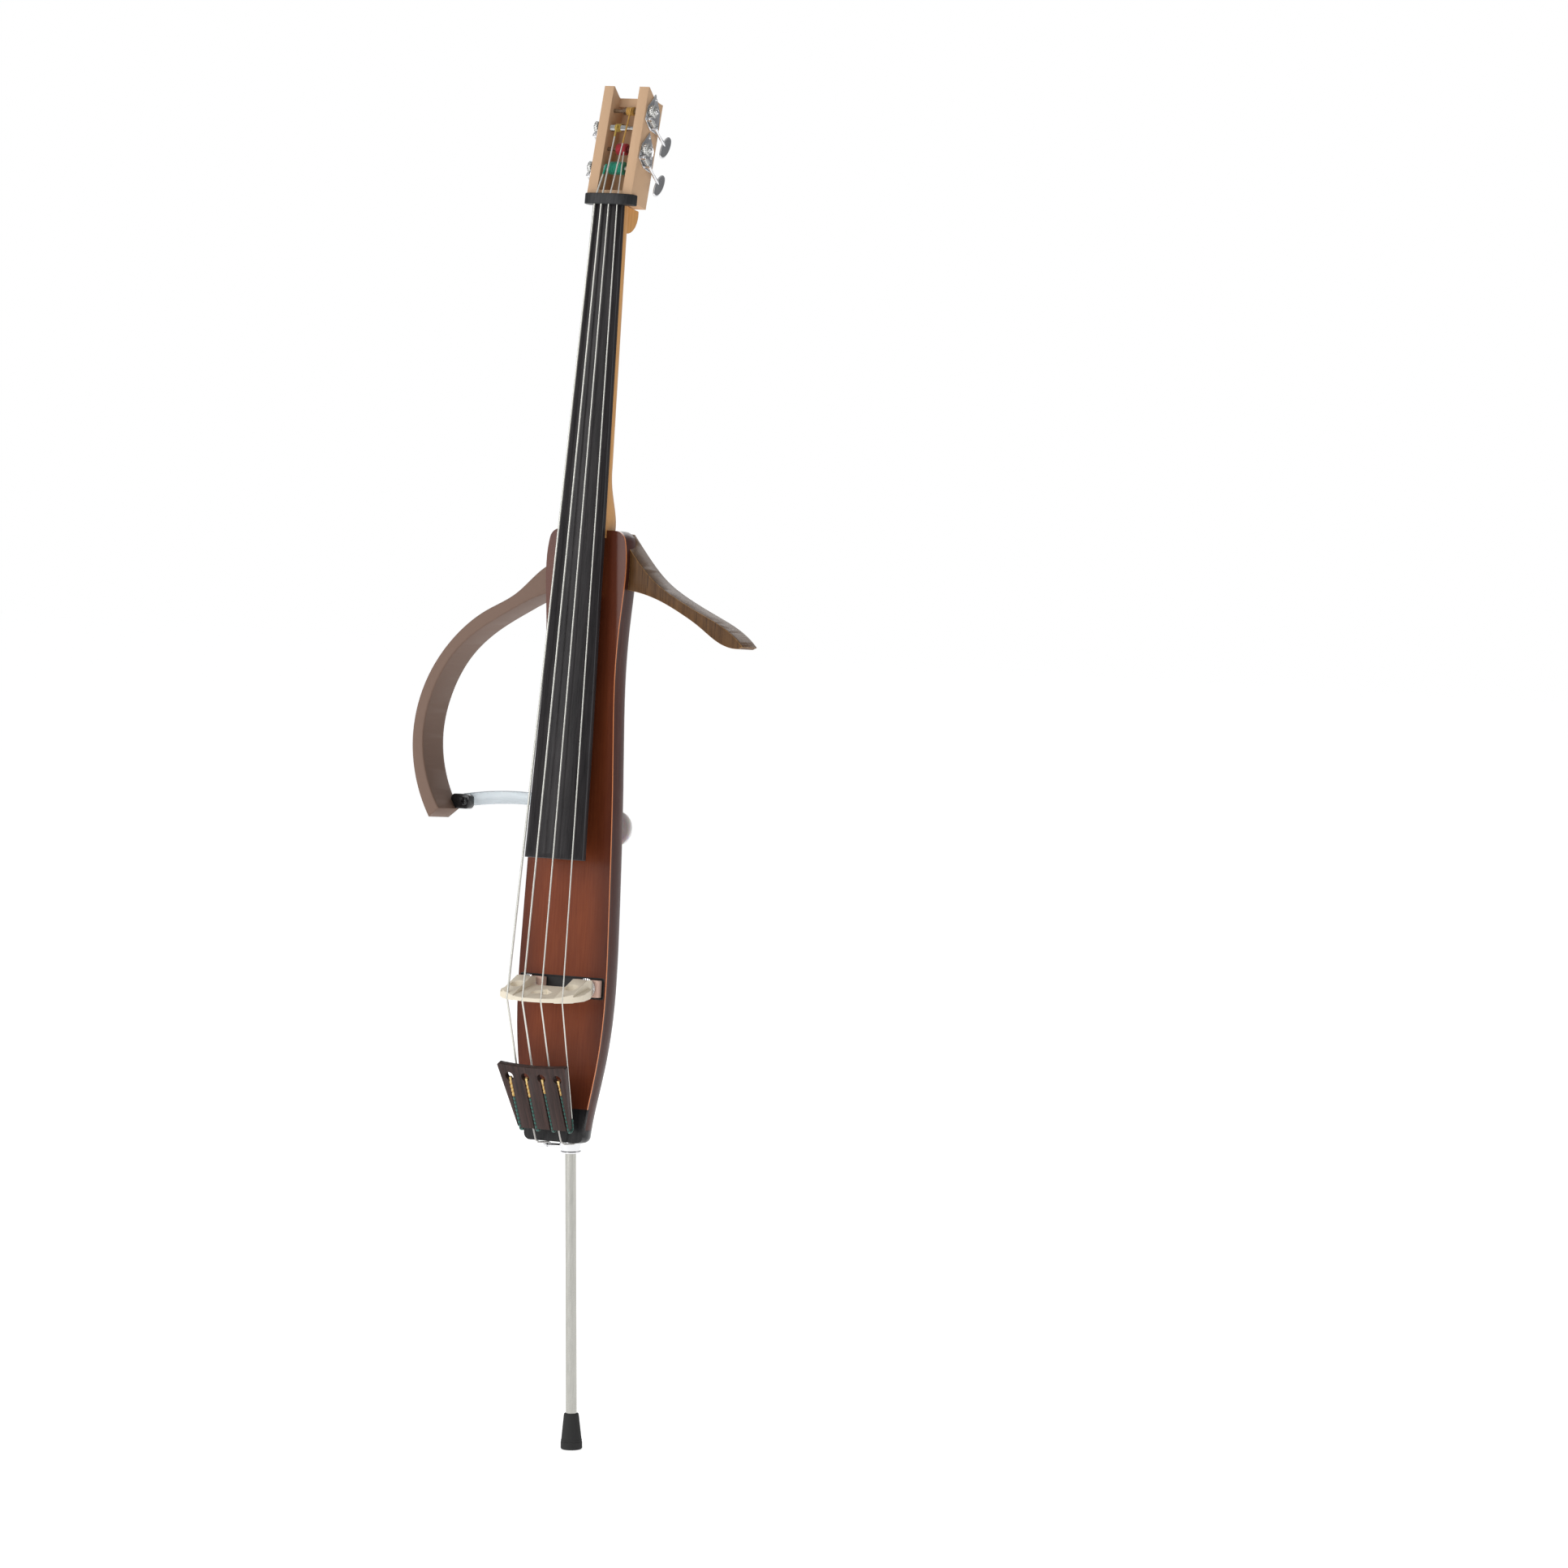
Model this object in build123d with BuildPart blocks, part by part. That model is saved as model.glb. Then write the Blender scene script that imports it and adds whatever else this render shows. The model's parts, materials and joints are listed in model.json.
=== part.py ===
"""Electric upright bass: slim hollow body, bolt-on bout frames, open pegbox and telescoping endpin.

Millimetres, +Z up, the front faces -Y, +X is the viewer's right.  The origin is the
middle of the endpin's rubber foot, on the floor, and the endpin stands along Z.
The body leans back from it, so most pieces are placed in one of four leaning frames:
  top    x across, v up along the body from its lower end, h out of the front surface
  board  x across, y up along the fingerboard from the nut
  head   depth back into the pegbox, up along its front
"""

import os
from math import atan2, cos, degrees, hypot, radians, sin, sqrt

from build123d import *

os.makedirs("parts", exist_ok=True)

# ---------------------------------------------------------------- driving dimensions
# Endpin
FOOT_HEIGHT, FOOT_R, FOOT_TOP_R = 47.0, 14.0, 9.8
TUBE_R, TUBE_TOP_Z = 7.2, 475.0
COLLAR_Z, COLLAR_FOOT_Z, COLLAR_R = 401.5, 385.5, 14.2
SLEEVE_R, SLEEVE_LENGTH = 10.0, 44.0
RUNNING_FIT = 0.08

# Body
LEAN = 6.65
BODY_FOOT_Y, BODY_FOOT_Z = -44.2, 406.7
BODY_LENGTH = 785.0
PLATE_T = 5.0
SADDLE_LENGTH, TAIL_INLAY = 17.0, 44.0
WALL = 8.0
SECTIONS = [  # place v, half width, depth behind the front plate, fullness of the back
    (0, 43.5, 57.0, 0.50),
    (44, 48.5, 58.0, 0.55),
    (118, 60.7, 59.0, 0.66),
    (213, 65.4, 59.0, 0.74),
    (362, 61.7, 58.0, 0.76),
    (513, 55.2, 56.0, 0.76),
    (650, 53.2, 54.0, 0.78),
    (785, 52.6, 52.0, 0.78),
]
SHOULDER_R = 15.0

# Fingerboard, nut and strings
NUT_Y, NUT_Z = 97.0, 1600.0
BOARD_END_Y, BOARD_END_Z = -40.0, 771.0
BOARD_NUT_W, BOARD_END_W, BOARD_T = 43.5, 87.0, 7.5
BOARD_NUT_R, BOARD_END_R = 70.0, 80.0
NUT_HEIGHT = 14.0
STRINGS = {  # diameter, x at nut, x at bridge, height at bridge, x at tailpiece
    "e": (2.8, -16.6, -41.3, 64.5, -35.8),
    "a": (2.4, -5.5, -13.8, 72.0, -11.9),
    "d": (2.0, 5.5, 13.8, 72.0, 11.9),
    "g": (1.7, 16.6, 41.3, 64.5, 35.8),
}
NUT_STRING_OUT = {"e": 4.4, "a": 6.4, "d": 6.3, "g": 4.2}
BRIDGE_V = 180.3

# Head and machine heads
HEAD_LEAN = 18.4
HEAD_Y, HEAD_Z = 98.0, 1605.0
HEAD_HALF_W, CHEEK_T, HEAD_DEPTH, HEAD_LENGTH = 33.0, 14.0, 41.0, 152.0
POST_DEPTH = 11.0
TUNERS = {  # side, place up the head, winding radius, winding length, winding middle x
    "e": (-1, 46.0, 8.5, 22.0, 0.0),
    "a": (-1, 99.5, 5.6, 9.0, -8.0),
    "d": (1, 122.0, 6.0, 11.0, 6.0),
    "g": (1, 71.2, 7.8, 14.0, 2.5),
}
GEAR_R, GEAR_T, GEAR_X = 8.2, 5.0, 36.5
GEAR_TEETH = 16
WORM_R, KEY_TILT = 3.0, 28.0
WORM_GAP = 0.35

# Bridge
TRAY_LOW_V, TRAY_HIGH_V, TRAY_HALF_W = 185.4, 213.2, 63.4
FOOT_X, FOOT_W, FOOT_LOW_V, FOOT_HIGH_V = 41.5, 35.0, 188.2, 210.2
ADJUSTER_X, WHEEL_R, WHEEL_T = 43.5, 13.2, 2.4
FOOT_TOP_H = 10.0

# Bout frames and band
FRAME_FRONT_H, FRAME_DEPTH, RIGHT_DEPTH = -10.0, 50.0, 38.0
BAND_W, BAND_T = 20.0, 2.0
PAD_X, PAD_V, PAD_R = 18.0, 404.0, 23.0

# Control panel in the back of the body
PANEL_LOW_V, PANEL_HIGH_V, PANEL_W, PANEL_T = 505.0, 635.0, 52.0, 3.0
KNOB_R, KNOB_H, KNOB_V = 8.0, 11.0, (532.0, 556.0, 580.0)
JACK_R = 3.2

# ---------------------------------------------------------------- leaning frames
UP = Vector(0, sin(radians(LEAN)), cos(radians(LEAN)))
OUT = Vector(0, -cos(radians(LEAN)), sin(radians(LEAN)))
FOOT = Vector(0, BODY_FOOT_Y, BODY_FOOT_Z)
ACROSS = Vector(1, 0, 0)
TOP = Plane(origin=FOOT, x_dir=ACROSS, z_dir=OUT)

BOARD_LEAN = degrees(atan2(NUT_Y - BOARD_END_Y, NUT_Z - BOARD_END_Z))
BOARD_LENGTH = hypot(NUT_Y - BOARD_END_Y, NUT_Z - BOARD_END_Z)
BOARD_UP = Vector(0, sin(radians(BOARD_LEAN)), cos(radians(BOARD_LEAN)))
BOARD_OUT = Vector(0, -cos(radians(BOARD_LEAN)), sin(radians(BOARD_LEAN)))
NUT_END = Vector(0, NUT_Y, NUT_Z)

HEAD_UP = Vector(0, sin(radians(HEAD_LEAN)), cos(radians(HEAD_LEAN)))
HEAD_BACK = Vector(0, cos(radians(HEAD_LEAN)), -sin(radians(HEAD_LEAN)))
HEAD = Vector(0, HEAD_Y, HEAD_Z)


def top_point(x, v, h):
    """A point of the body frame, in the world."""
    return FOOT + ACROSS * x + UP * v + OUT * h


def head_point(x, depth, up):
    """A point of the head frame, in the world."""
    return HEAD + ACROSS * x + HEAD_BACK * depth + HEAD_UP * up


def body_section(v, sink):
    """The plane across the body at v, its y pointing into the body from the sunk surface."""
    return Plane(origin=top_point(0, v, -sink), x_dir=ACROSS, z_dir=UP)


def side_plane(x):
    """A plane facing +X in the body frame: its x runs into the body, its y up along it."""
    return Plane(origin=top_point(x, 0, 0), x_dir=-OUT, z_dir=ACROSS)


def head_side(x):
    """A plane facing +X in the head frame: its x is depth, its y is up."""
    return Plane(origin=head_point(x, 0, 0), x_dir=HEAD_BACK, z_dir=ACROSS)


def board_plane(along):
    """The plane across the board, along it from the nut, its y pointing back."""
    return Plane(origin=NUT_END - BOARD_UP * along, x_dir=ACROSS, z_dir=BOARD_UP)


def save(part, name):
    """Labels a finished piece and writes it."""
    part.label = name
    export_step(part, f"parts/{name}.step")


def hull_section(plane, half_w, depth, fullness, straight=6.0):
    """One closed section of the hull: flat in front, straight sides, round back."""
    with BuildSketch(plane) as section:
        with BuildLine():
            Line((-half_w, 0), (half_w, 0))
            Line((half_w, 0), (half_w, straight))
            Bezier((half_w, straight), (half_w, fullness * depth),
                   (fullness * 0.82 * half_w, depth), (0, depth))
            Bezier((0, depth), (-fullness * 0.82 * half_w, depth),
                   (-half_w, fullness * depth), (-half_w, straight))
            Line((-half_w, straight), (-half_w, 0))
        make_face()
    return section.sketch


def half_width(v):
    """Half the width of the body at v, by straight steps between the sections."""
    for (v0, w0, _, _), (v1, w1, _, _) in zip(SECTIONS, SECTIONS[1:]):
        if v <= v1:
            return w0 + (w1 - w0) * (v - v0) / (v1 - v0)
    return SECTIONS[-1][1]


def drum(centre, axis, radius, length):
    """A plain cylinder from centre along axis, as a tool for other pieces."""
    with BuildPart() as tool:
        with BuildSketch(Plane(origin=centre, z_dir=axis)):
            Circle(radius)
        extrude(amount=length)
    return tool.part


def block(plane, width, height, length):
    """A plain block standing on a plane, as a tool for other pieces."""
    with BuildPart() as tool:
        with BuildSketch(plane):
            Rectangle(width, height)
        extrude(amount=length)
    return tool.part


def slab(plane, points, amount, both=False):
    """A flat piece with straight edges."""
    with BuildPart() as tool:
        with BuildSketch(plane):
            with BuildLine():
                Polyline(*points, close=True)
            make_face()
        extrude(amount=amount, both=both)
    return tool.part


def turned(profile):
    """A piece turned about the endpin's axis, from its (radius, height) outline."""
    with BuildPart() as tool:
        with BuildSketch(Plane.XZ):
            with BuildLine():
                Polyline(*profile, close=True)
            make_face()
        revolve(axis=Axis.Z)
    return tool.part


# ---------------------------------------------------------------- body
with BuildPart() as hull:
    for place, half_w, deep, full in SECTIONS:
        add(hull_section(body_section(place, 0), half_w, deep + PLATE_T, full, 6 + PLATE_T))
    loft()
    upright = hull.edges().filter_by(lambda e: abs(e.tangent_at(0.5).dot(OUT)) > 0.99)
    fillet(upright.filter_by(lambda e: (e.center() - FOOT).dot(UP) > BODY_LENGTH - 1), SHOULDER_R)
    fillet(upright.filter_by(lambda e: (e.center() - FOOT).dot(UP) < 1), 9)

FAR = 300.0
behind_plate = block(TOP.offset(-PLATE_T), FAR, 2000, -FAR)
below_saddle = block(body_section(SADDLE_LENGTH, 0), FAR, FAR, -FAR)
below_inlay = block(body_section(TAIL_INLAY, 0), FAR, FAR, -FAR)
collar_room = drum(Vector(0, 0, 380), (0, 0, 1), COLLAR_R + 0.3, 24)
sleeve_room = drum(Vector(0, 0, 400), (0, 0, 1), SLEEVE_R, SLEEVE_LENGTH + 1.5)
tube_room = drum(Vector(0, 0, 400), (0, 0, 1), TUBE_R + 0.6, 245)
panel_middle = (PANEL_LOW_V + PANEL_HIGH_V) / 2
PANEL_FLOOR_H, DOOR_FLOOR_H = -53.0, -54.0
DOOR_LOW_V, DOOR_HIGH_V, DOOR_W, DOOR_T = 236.0, 306.0, 44.0, 3.0
HINGE_PIN_R, HINGE_PIN_REACH, DOOR_GAP = 1.1, 2.6, 0.1
PLAY = 0.3


def cavity(low, high, deep):
    """A chamber inside the hull between two heights."""
    with BuildPart() as tool:
        stations = [low] + [s[0] for s in SECTIONS if low < s[0] < high] + [high]
        for place in stations:
            add(hull_section(body_section(place, PLATE_T), half_width(place) - WALL, deep, 0.66))
        loft()
    return tool.part


with BuildPart() as body_back:
    add(hull.part)
    add(behind_plate, mode=Mode.INTERSECT)
    add(below_saddle, mode=Mode.SUBTRACT)
    add(cavity(66, 172, 45), mode=Mode.SUBTRACT)
    add(cavity(230, 640, 46), mode=Mode.SUBTRACT)
    add(sleeve_room, mode=Mode.SUBTRACT)
    add(tube_room, mode=Mode.SUBTRACT)
    for low, high, wide, floor, lip in (
            (PANEL_LOW_V, PANEL_HIGH_V, PANEL_W, PANEL_FLOOR_H, 5),
            (DOOR_LOW_V, DOOR_HIGH_V, DOOR_W, DOOR_FLOOR_H, 4)):
        with BuildSketch(TOP.offset(floor)):
            with Locations((0, (low + high) / 2)):
                Rectangle(wide + 2 * PLAY, high - low + 2 * PLAY)
        extrude(amount=-30, mode=Mode.SUBTRACT)
        with BuildSketch(TOP.offset(-30)):
            with Locations((0, (low + high) / 2)):
                Rectangle(wide - 2 * lip, high - low - 2 * lip)
        extrude(amount=-40, mode=Mode.SUBTRACT)
    for side in (1, -1):
        add(drum(top_point(side * 40, 725, -28), (side, 0, 0), 3, 40), mode=Mode.SUBTRACT)
        hinge_end = top_point(side * (DOOR_W / 2 - 1), DOOR_LOW_V + DOOR_T / 2, DOOR_FLOOR_H - DOOR_T / 2)
        hinge_hole = drum(hinge_end, (side, 0, 0), HINGE_PIN_R + RUNNING_FIT, HINGE_PIN_REACH + 1.4)
        add(hinge_hole, mode=Mode.SUBTRACT)

with BuildPart() as top_plate:
    add(hull.part)
    add(behind_plate, mode=Mode.SUBTRACT)
    add(below_inlay, mode=Mode.SUBTRACT)
    with BuildSketch(TOP.offset(1)):
        with Locations((0, (TRAY_LOW_V + TRAY_HIGH_V) / 2)):
            RectangleRounded(2 * TRAY_HALF_W, TRAY_HIGH_V - TRAY_LOW_V, 3)
    extrude(amount=-10, mode=Mode.SUBTRACT)
save(top_plate.part, "top_plate")

with BuildPart() as pickup_tray:
    with BuildSketch(TOP.offset(-PLATE_T)):
        with Locations((0, (TRAY_LOW_V + TRAY_HIGH_V) / 2)):
            RectangleRounded(2 * TRAY_HALF_W - 0.1, TRAY_HIGH_V - TRAY_LOW_V - 0.1, 2.9)
    extrude(amount=PLATE_T - 0.3)
    with BuildSketch(TOP.offset(-PLATE_T + 2)):
        with Locations((0, (TRAY_LOW_V + TRAY_HIGH_V) / 2)):
            RectangleRounded(2 * TRAY_HALF_W - 2.6, TRAY_HIGH_V - TRAY_LOW_V - 2.6, 1.8)
    extrude(amount=10, mode=Mode.SUBTRACT)
save(pickup_tray.part, "pickup_tray")

# ---------------------------------------------------------------- tailpiece frame
TAIL_LOW, TAIL_HIGH = (15.6, 23.8), (97.6, 65.3)
TAIL_LENGTH = hypot(TAIL_HIGH[0] - TAIL_LOW[0], TAIL_HIGH[1] - TAIL_LOW[1])
TAIL_UP = (UP * (TAIL_HIGH[0] - TAIL_LOW[0]) + OUT * (TAIL_HIGH[1] - TAIL_LOW[1])) * (1 / TAIL_LENGTH)
TAIL_OUT = ACROSS.cross(TAIL_UP)
TAIL = Plane(origin=top_point(0, *TAIL_LOW), x_dir=ACROSS, z_dir=TAIL_OUT)
TAIL_T, GROOVE_W, GROOVE_DEPTH, KEYHOLE_Y, KEYHOLE_R = 8.0, 4.8, 5.2, 74.0, 6.0
TAIL_LOW_W, TAIL_HIGH_W, TAIL_HOLLOW = 38.0, 51.0, 3.7
SILK_DEPTH, WRAP_Y, WRAP_DEPTH, WRAP_R = 2.4, -4.4, 12.2, 4.2


def tail_point(x, y, z):
    """A point of the tailpiece's frame, in the world."""
    return TAIL.origin + ACROSS * x + TAIL_UP * y + TAIL_OUT * z


# ---------------------------------------------------------------- strings
strings = {}
STRING_START_X = {"e": -11.5, "a": -7.5, "d": 9.5, "g": 10.0}
for key, (dia, nut_x, bridge_x, bridge_h, tail_x) in STRINGS.items():
    side, up, wound_r, wound_l, wound_x = TUNERS[key]
    with BuildPart() as string:
        with BuildLine() as route:
            start = head_point(STRING_START_X[key], POST_DEPTH - wound_r - dia / 2 - 0.35, up + 2)
            nut_top = NUT_END + BOARD_UP * (NUT_HEIGHT / 2) + BOARD_OUT * NUT_STRING_OUT[key]
            nut_top += ACROSS * nut_x
            FilletPolyline(
                start,
                nut_top,
                top_point(bridge_x, BRIDGE_V, bridge_h),
                tail_point(tail_x, WRAP_Y, -WRAP_DEPTH),
                tail_point(tail_x, WRAP_Y, -SILK_DEPTH),
                tail_point(tail_x, KEYHOLE_Y - 7, -SILK_DEPTH),
                radius=WRAP_R)
        with BuildSketch(Plane(origin=start, z_dir=nut_top - start)):
            Circle(dia / 2)
        sweep()
        with BuildSketch(Plane(origin=tail_point(tail_x, KEYHOLE_Y - 8, -SILK_DEPTH - 0.2), z_dir=TAIL_UP)):
            Circle(2.3)
        extrude(amount=6)
    strings[key] = string.part
    save(string.part, f"string_{key}")

with BuildPart() as tail_wires:
    for side in (1, -1):
        with BuildLine():
            FilletPolyline(
                top_point(side * 19, 26.8, 23.9),
                top_point(side * 19, 1.0, 10.8),
                top_point(side * 19, -2.2, 2.0),
                top_point(side * 19, -2.2, -22),
                top_point(side * 19, 8, -30),
                radius=4)
        with BuildSketch(Plane(origin=top_point(side * 19, 26.8, 23.9),
                               z_dir=top_point(0, 1.0, 10.8) - top_point(0, 26.8, 23.9))):
            Circle(1.1)
        sweep()
save(tail_wires.part, "tail_wires")

with BuildPart() as tailpiece:
    with BuildSketch(TAIL):
        with BuildLine():
            Line((-TAIL_LOW_W, 0), (TAIL_LOW_W, 0))
            Line((TAIL_LOW_W, 0), (TAIL_HIGH_W, TAIL_LENGTH))
            ThreePointArc((TAIL_HIGH_W, TAIL_LENGTH), (0, TAIL_LENGTH - TAIL_HOLLOW),
                          (-TAIL_HIGH_W, TAIL_LENGTH))
            Line((-TAIL_HIGH_W, TAIL_LENGTH), (-TAIL_LOW_W, 0))
        make_face()
    extrude(amount=-TAIL_T)
    fillet(tailpiece.edges().filter_by(lambda e: abs(e.tangent_at(0.5).dot(TAIL_OUT)) > 0.99), 2)
    for _, _, _, _, tail_x in STRINGS.values():
        with BuildSketch(TAIL.offset(1)):
            with Locations((tail_x, KEYHOLE_Y)):
                Circle(KEYHOLE_R)
        extrude(amount=-TAIL_T - 2, mode=Mode.SUBTRACT)
        with BuildSketch(TAIL.offset(1)):
            with Locations((tail_x, KEYHOLE_Y / 2 - 2)):
                Rectangle(GROOVE_W, KEYHOLE_Y + 4)
        extrude(amount=-GROOVE_DEPTH - 1, mode=Mode.SUBTRACT)
    add(tail_wires.part, mode=Mode.SUBTRACT)
save(tailpiece.part, "tailpiece")

with BuildPart() as behind_inlay:
    add(behind_plate)
    add(below_saddle, mode=Mode.SUBTRACT)

with BuildPart() as end_saddle:
    add(hull.part)
    add(below_inlay, mode=Mode.INTERSECT)
    add(behind_inlay.part, mode=Mode.SUBTRACT)
    add(collar_room, mode=Mode.SUBTRACT)
    add(sleeve_room, mode=Mode.SUBTRACT)
    add(tail_wires.part, mode=Mode.SUBTRACT)
save(end_saddle.part, "end_saddle")

# ---------------------------------------------------------------- head
SCOOP_X = HEAD_HALF_W - CHEEK_T
with BuildPart() as nut_blank:
    with BuildSketch(board_plane(0)):
        with BuildLine():
            ThreePointArc((35, 4), (0, -8.6), (-35, 4))
            Polyline((-35, 4), (-35, 14), (35, 14), (35, 4))
        make_face()
    extrude(amount=NUT_HEIGHT)
    fillet(nut_blank.edges().filter_by(lambda e: abs(e.tangent_at(0.5).dot(BOARD_UP)) > 0.99), 1.2)

with BuildPart() as pegbox:
    with BuildSketch(head_side(0)):
        with BuildLine():
            Polyline((0, 0), (0, HEAD_LENGTH), (2, HEAD_LENGTH), (17, 142.5))
            Spline((17, 142.5), (29, 139.6), (HEAD_DEPTH, 139.2))
            Polyline((HEAD_DEPTH, 139.2), (HEAD_DEPTH, 0), (0, 0))
        make_face()
    extrude(amount=HEAD_HALF_W, both=True)
    solid_head = pegbox.part
    with BuildSketch(head_side(0)):
        with BuildLine():
            Polyline((-1, 14), (31, 14), (31, 128), (20, 130), (20, 170), (-1, 170), close=True)
        make_face()
    extrude(amount=SCOOP_X, both=True, mode=Mode.SUBTRACT)
    for side, up, _, _, _ in TUNERS.values():
        add(drum(head_point(side * (SCOOP_X - 1), POST_DEPTH, up), (side, 0, 0), 4.6, 20),
            mode=Mode.SUBTRACT)
        add(drum(head_point(-side * (SCOOP_X - 1), POST_DEPTH, up), (-side, 0, 0), 2.6, 10),
            mode=Mode.SUBTRACT)
    add(nut_blank.part, mode=Mode.SUBTRACT)
save(pegbox.part.solids().sort_by(SortBy.VOLUME)[-1], "pegbox")

with BuildPart() as fingerboard:
    for along, width, radius in ((0, BOARD_NUT_W, BOARD_NUT_R), (BOARD_LENGTH, BOARD_END_W, BOARD_END_R)):
        crown = radius - sqrt(radius**2 - width**2 / 4)
        with BuildSketch(board_plane(along)):
            with BuildLine():
                ThreePointArc((width / 2, 0), (0, -crown), (-width / 2, 0))
                Polyline((-width / 2, 0), (-width / 2, BOARD_T), (width / 2, BOARD_T), (width / 2, 0))
            make_face()
    loft(ruled=True)
save(fingerboard.part, "fingerboard")

NECK_SECTIONS = [(-7, 20.5, 22), (345, 29.5, 25)]  # along the board, half width, depth
HEEL_SECTIONS = [(345, 29.5, 25), (366, 29.5, 33), (386, 29.0, 46), (426, 28.5, 51)]


def neck_section(along, half_w, deep):
    """A D-shaped section of the neck, flat against the back of the board."""
    across = board_plane(along)
    across.origin = across.origin - BOARD_OUT * BOARD_T
    return hull_section(across, half_w, deep, 0.78, 2)


with BuildPart() as neck:
    for sizes in NECK_SECTIONS:
        add(neck_section(*sizes))
    loft(ruled=True)
    for sizes in HEEL_SECTIONS:
        add(neck_section(*sizes))
    loft()
    with BuildSketch(Plane.YZ):
        with BuildLine():
            Line((104, 1601), (146, 1589))
            ThreePointArc((146, 1589), (139, 1571), (112, 1563))
            Polyline((112, 1563), (104, 1563), (104, 1601))
        make_face()
    extrude(amount=17, both=True)
    with BuildSketch(Plane.YZ):
        with BuildLine():
            inner = [top_point(0, v, 0) for v in (790, 700)]
            outer = [NUT_END - BOARD_UP * along - BOARD_OUT * BOARD_T for along in (502, 412)]
            Polyline(*[(p.Y, p.Z) for p in inner + outer], close=True)
        make_face()
    extrude(amount=25, both=True)
    add(solid_head, mode=Mode.SUBTRACT)
    add(hull.part, mode=Mode.SUBTRACT)
    add(fingerboard.part, mode=Mode.SUBTRACT)
save(neck.part, "neck")

with BuildPart() as nut:
    add(nut_blank.part)
    add(neck.part, mode=Mode.SUBTRACT)
    for string_part in strings.values():
        add(string_part, mode=Mode.SUBTRACT)
save(nut.part.solids().sort_by(SortBy.VOLUME)[-1], "nut")

# ---------------------------------------------------------------- machine heads
WORM_DISTANCE = GEAR_R + WORM_R + WORM_GAP
KEY_X = GEAR_X + GEAR_T / 2
PLATE_X, PLATE_SHEET = HEAD_HALF_W, 1.6
for key, (side, up, wound_r, wound_l, wound_x) in TUNERS.items():
    tilt = radians(KEY_TILT)
    run = HEAD_BACK * cos(tilt) - HEAD_UP * sin(tilt)
    beside = HEAD_BACK * (-sin(tilt)) - HEAD_UP * cos(tilt)
    hub = head_point(0, POST_DEPTH, up)
    worm_axis = hub + beside * WORM_DISTANCE + ACROSS * (side * KEY_X)

    with BuildPart() as post:
        reach = SCOOP_X + 6
        add(drum(hub + ACROSS * (-side * reach), (side, 0, 0), 2.5, 2 * reach))
        add(drum(hub + ACROSS * (-side * 4), (side, 0, 0), 4.5, 4 + GEAR_X))
        with BuildSketch(Plane(origin=hub + ACROSS * (side * GEAR_X), z_dir=(side, 0, 0))):
            Circle(GEAR_R)
            with PolarLocations(GEAR_R + 0.3, GEAR_TEETH):
                Circle(0.9, mode=Mode.SUBTRACT)
        extrude(amount=GEAR_T)
        with BuildSketch(Plane(origin=hub + ACROSS * (side * (GEAR_X + GEAR_T)), z_dir=(side, 0, 0))):
            Circle(4.2)
        extrude(amount=3)
        fillet(post.edges().filter_by(GeomType.CIRCLE).sort_by(Axis.X)[-1 if side > 0 else 0], 1.5)
    save(post.part, f"post_{key}")

    with BuildPart() as winding:
        with BuildSketch(Plane(origin=hub + ACROSS * (wound_x - wound_l / 2), z_dir=(1, 0, 0))):
            Circle(wound_r)
        extrude(amount=wound_l)
        fillet(winding.edges().filter_by(GeomType.CIRCLE), 1.2)
        add(post.part, mode=Mode.SUBTRACT)
    save(winding.part, f"winding_{key}")

    with BuildPart() as tuner_plate:
        with BuildSketch(Plane(origin=hub + ACROSS * (side * PLATE_X), x_dir=HEAD_BACK, z_dir=(side, 0, 0))):
            kite = [(7, 25), (24, 4), (27, -24), (6, -23), (-9, -13), (-8, 5)]
            with BuildLine():
                Polyline(*[(d, side * u) for d, u in kite], close=True)
            make_face()
            Circle(4.6, mode=Mode.SUBTRACT)
        extrude(amount=PLATE_SHEET)
        for place in (1.5, 16.5):
            lug_foot = worm_axis + run * place - ACROSS * (side * (KEY_X - PLATE_X))
            with BuildSketch(Plane(origin=lug_foot, x_dir=run, z_dir=(side, 0, 0))):
                Rectangle(2.6, 6.4)
            extrude(amount=KEY_X - PLATE_X + 3.2)
        add(drum(worm_axis - run * 5, run, 2.08, 40), mode=Mode.SUBTRACT)
    save(tuner_plate.part, f"tuner_plate_{key}")

    with BuildPart() as tuning_key:
        add(drum(worm_axis - run * 1.5, run, 2.0, 53))
        add(drum(worm_axis + run * 3.2, run, WORM_R, 11.6))
        blade = worm_axis + run * 54.5 - ACROSS * (side * 1.6)
        with BuildSketch(Plane(origin=blade, x_dir=run, z_dir=(side, 0, 0))):
            Ellipse(9, 18)
        extrude(amount=3.2)
    save(tuning_key.part, f"key_{key}")

# ---------------------------------------------------------------- bridge
with BuildPart() as bridge_feet:
    for side in (1, -1):
        with BuildSketch(TOP.offset(-PLATE_T + 3)):
            with Locations((side * FOOT_X, (FOOT_LOW_V + FOOT_HIGH_V) / 2)):
                RectangleRounded(FOOT_W, FOOT_HIGH_V - FOOT_LOW_V, 1)
        extrude(amount=PLATE_T - 3 + FOOT_TOP_H)
        add(drum(top_point(side * ADJUSTER_X, 199.2, 2), OUT, 3.1, 10), mode=Mode.SUBTRACT)
save(bridge_feet.part, "bridge_feet")

with BuildPart() as pickups:
    for side in (1, -1):
        with BuildSketch(TOP.offset(-PLATE_T + 2)):
            with Locations((side * FOOT_X, 199.2)):
                Rectangle(FOOT_W - 4, 14)
        extrude(amount=1)
save(pickups.part, "pickups")

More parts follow.
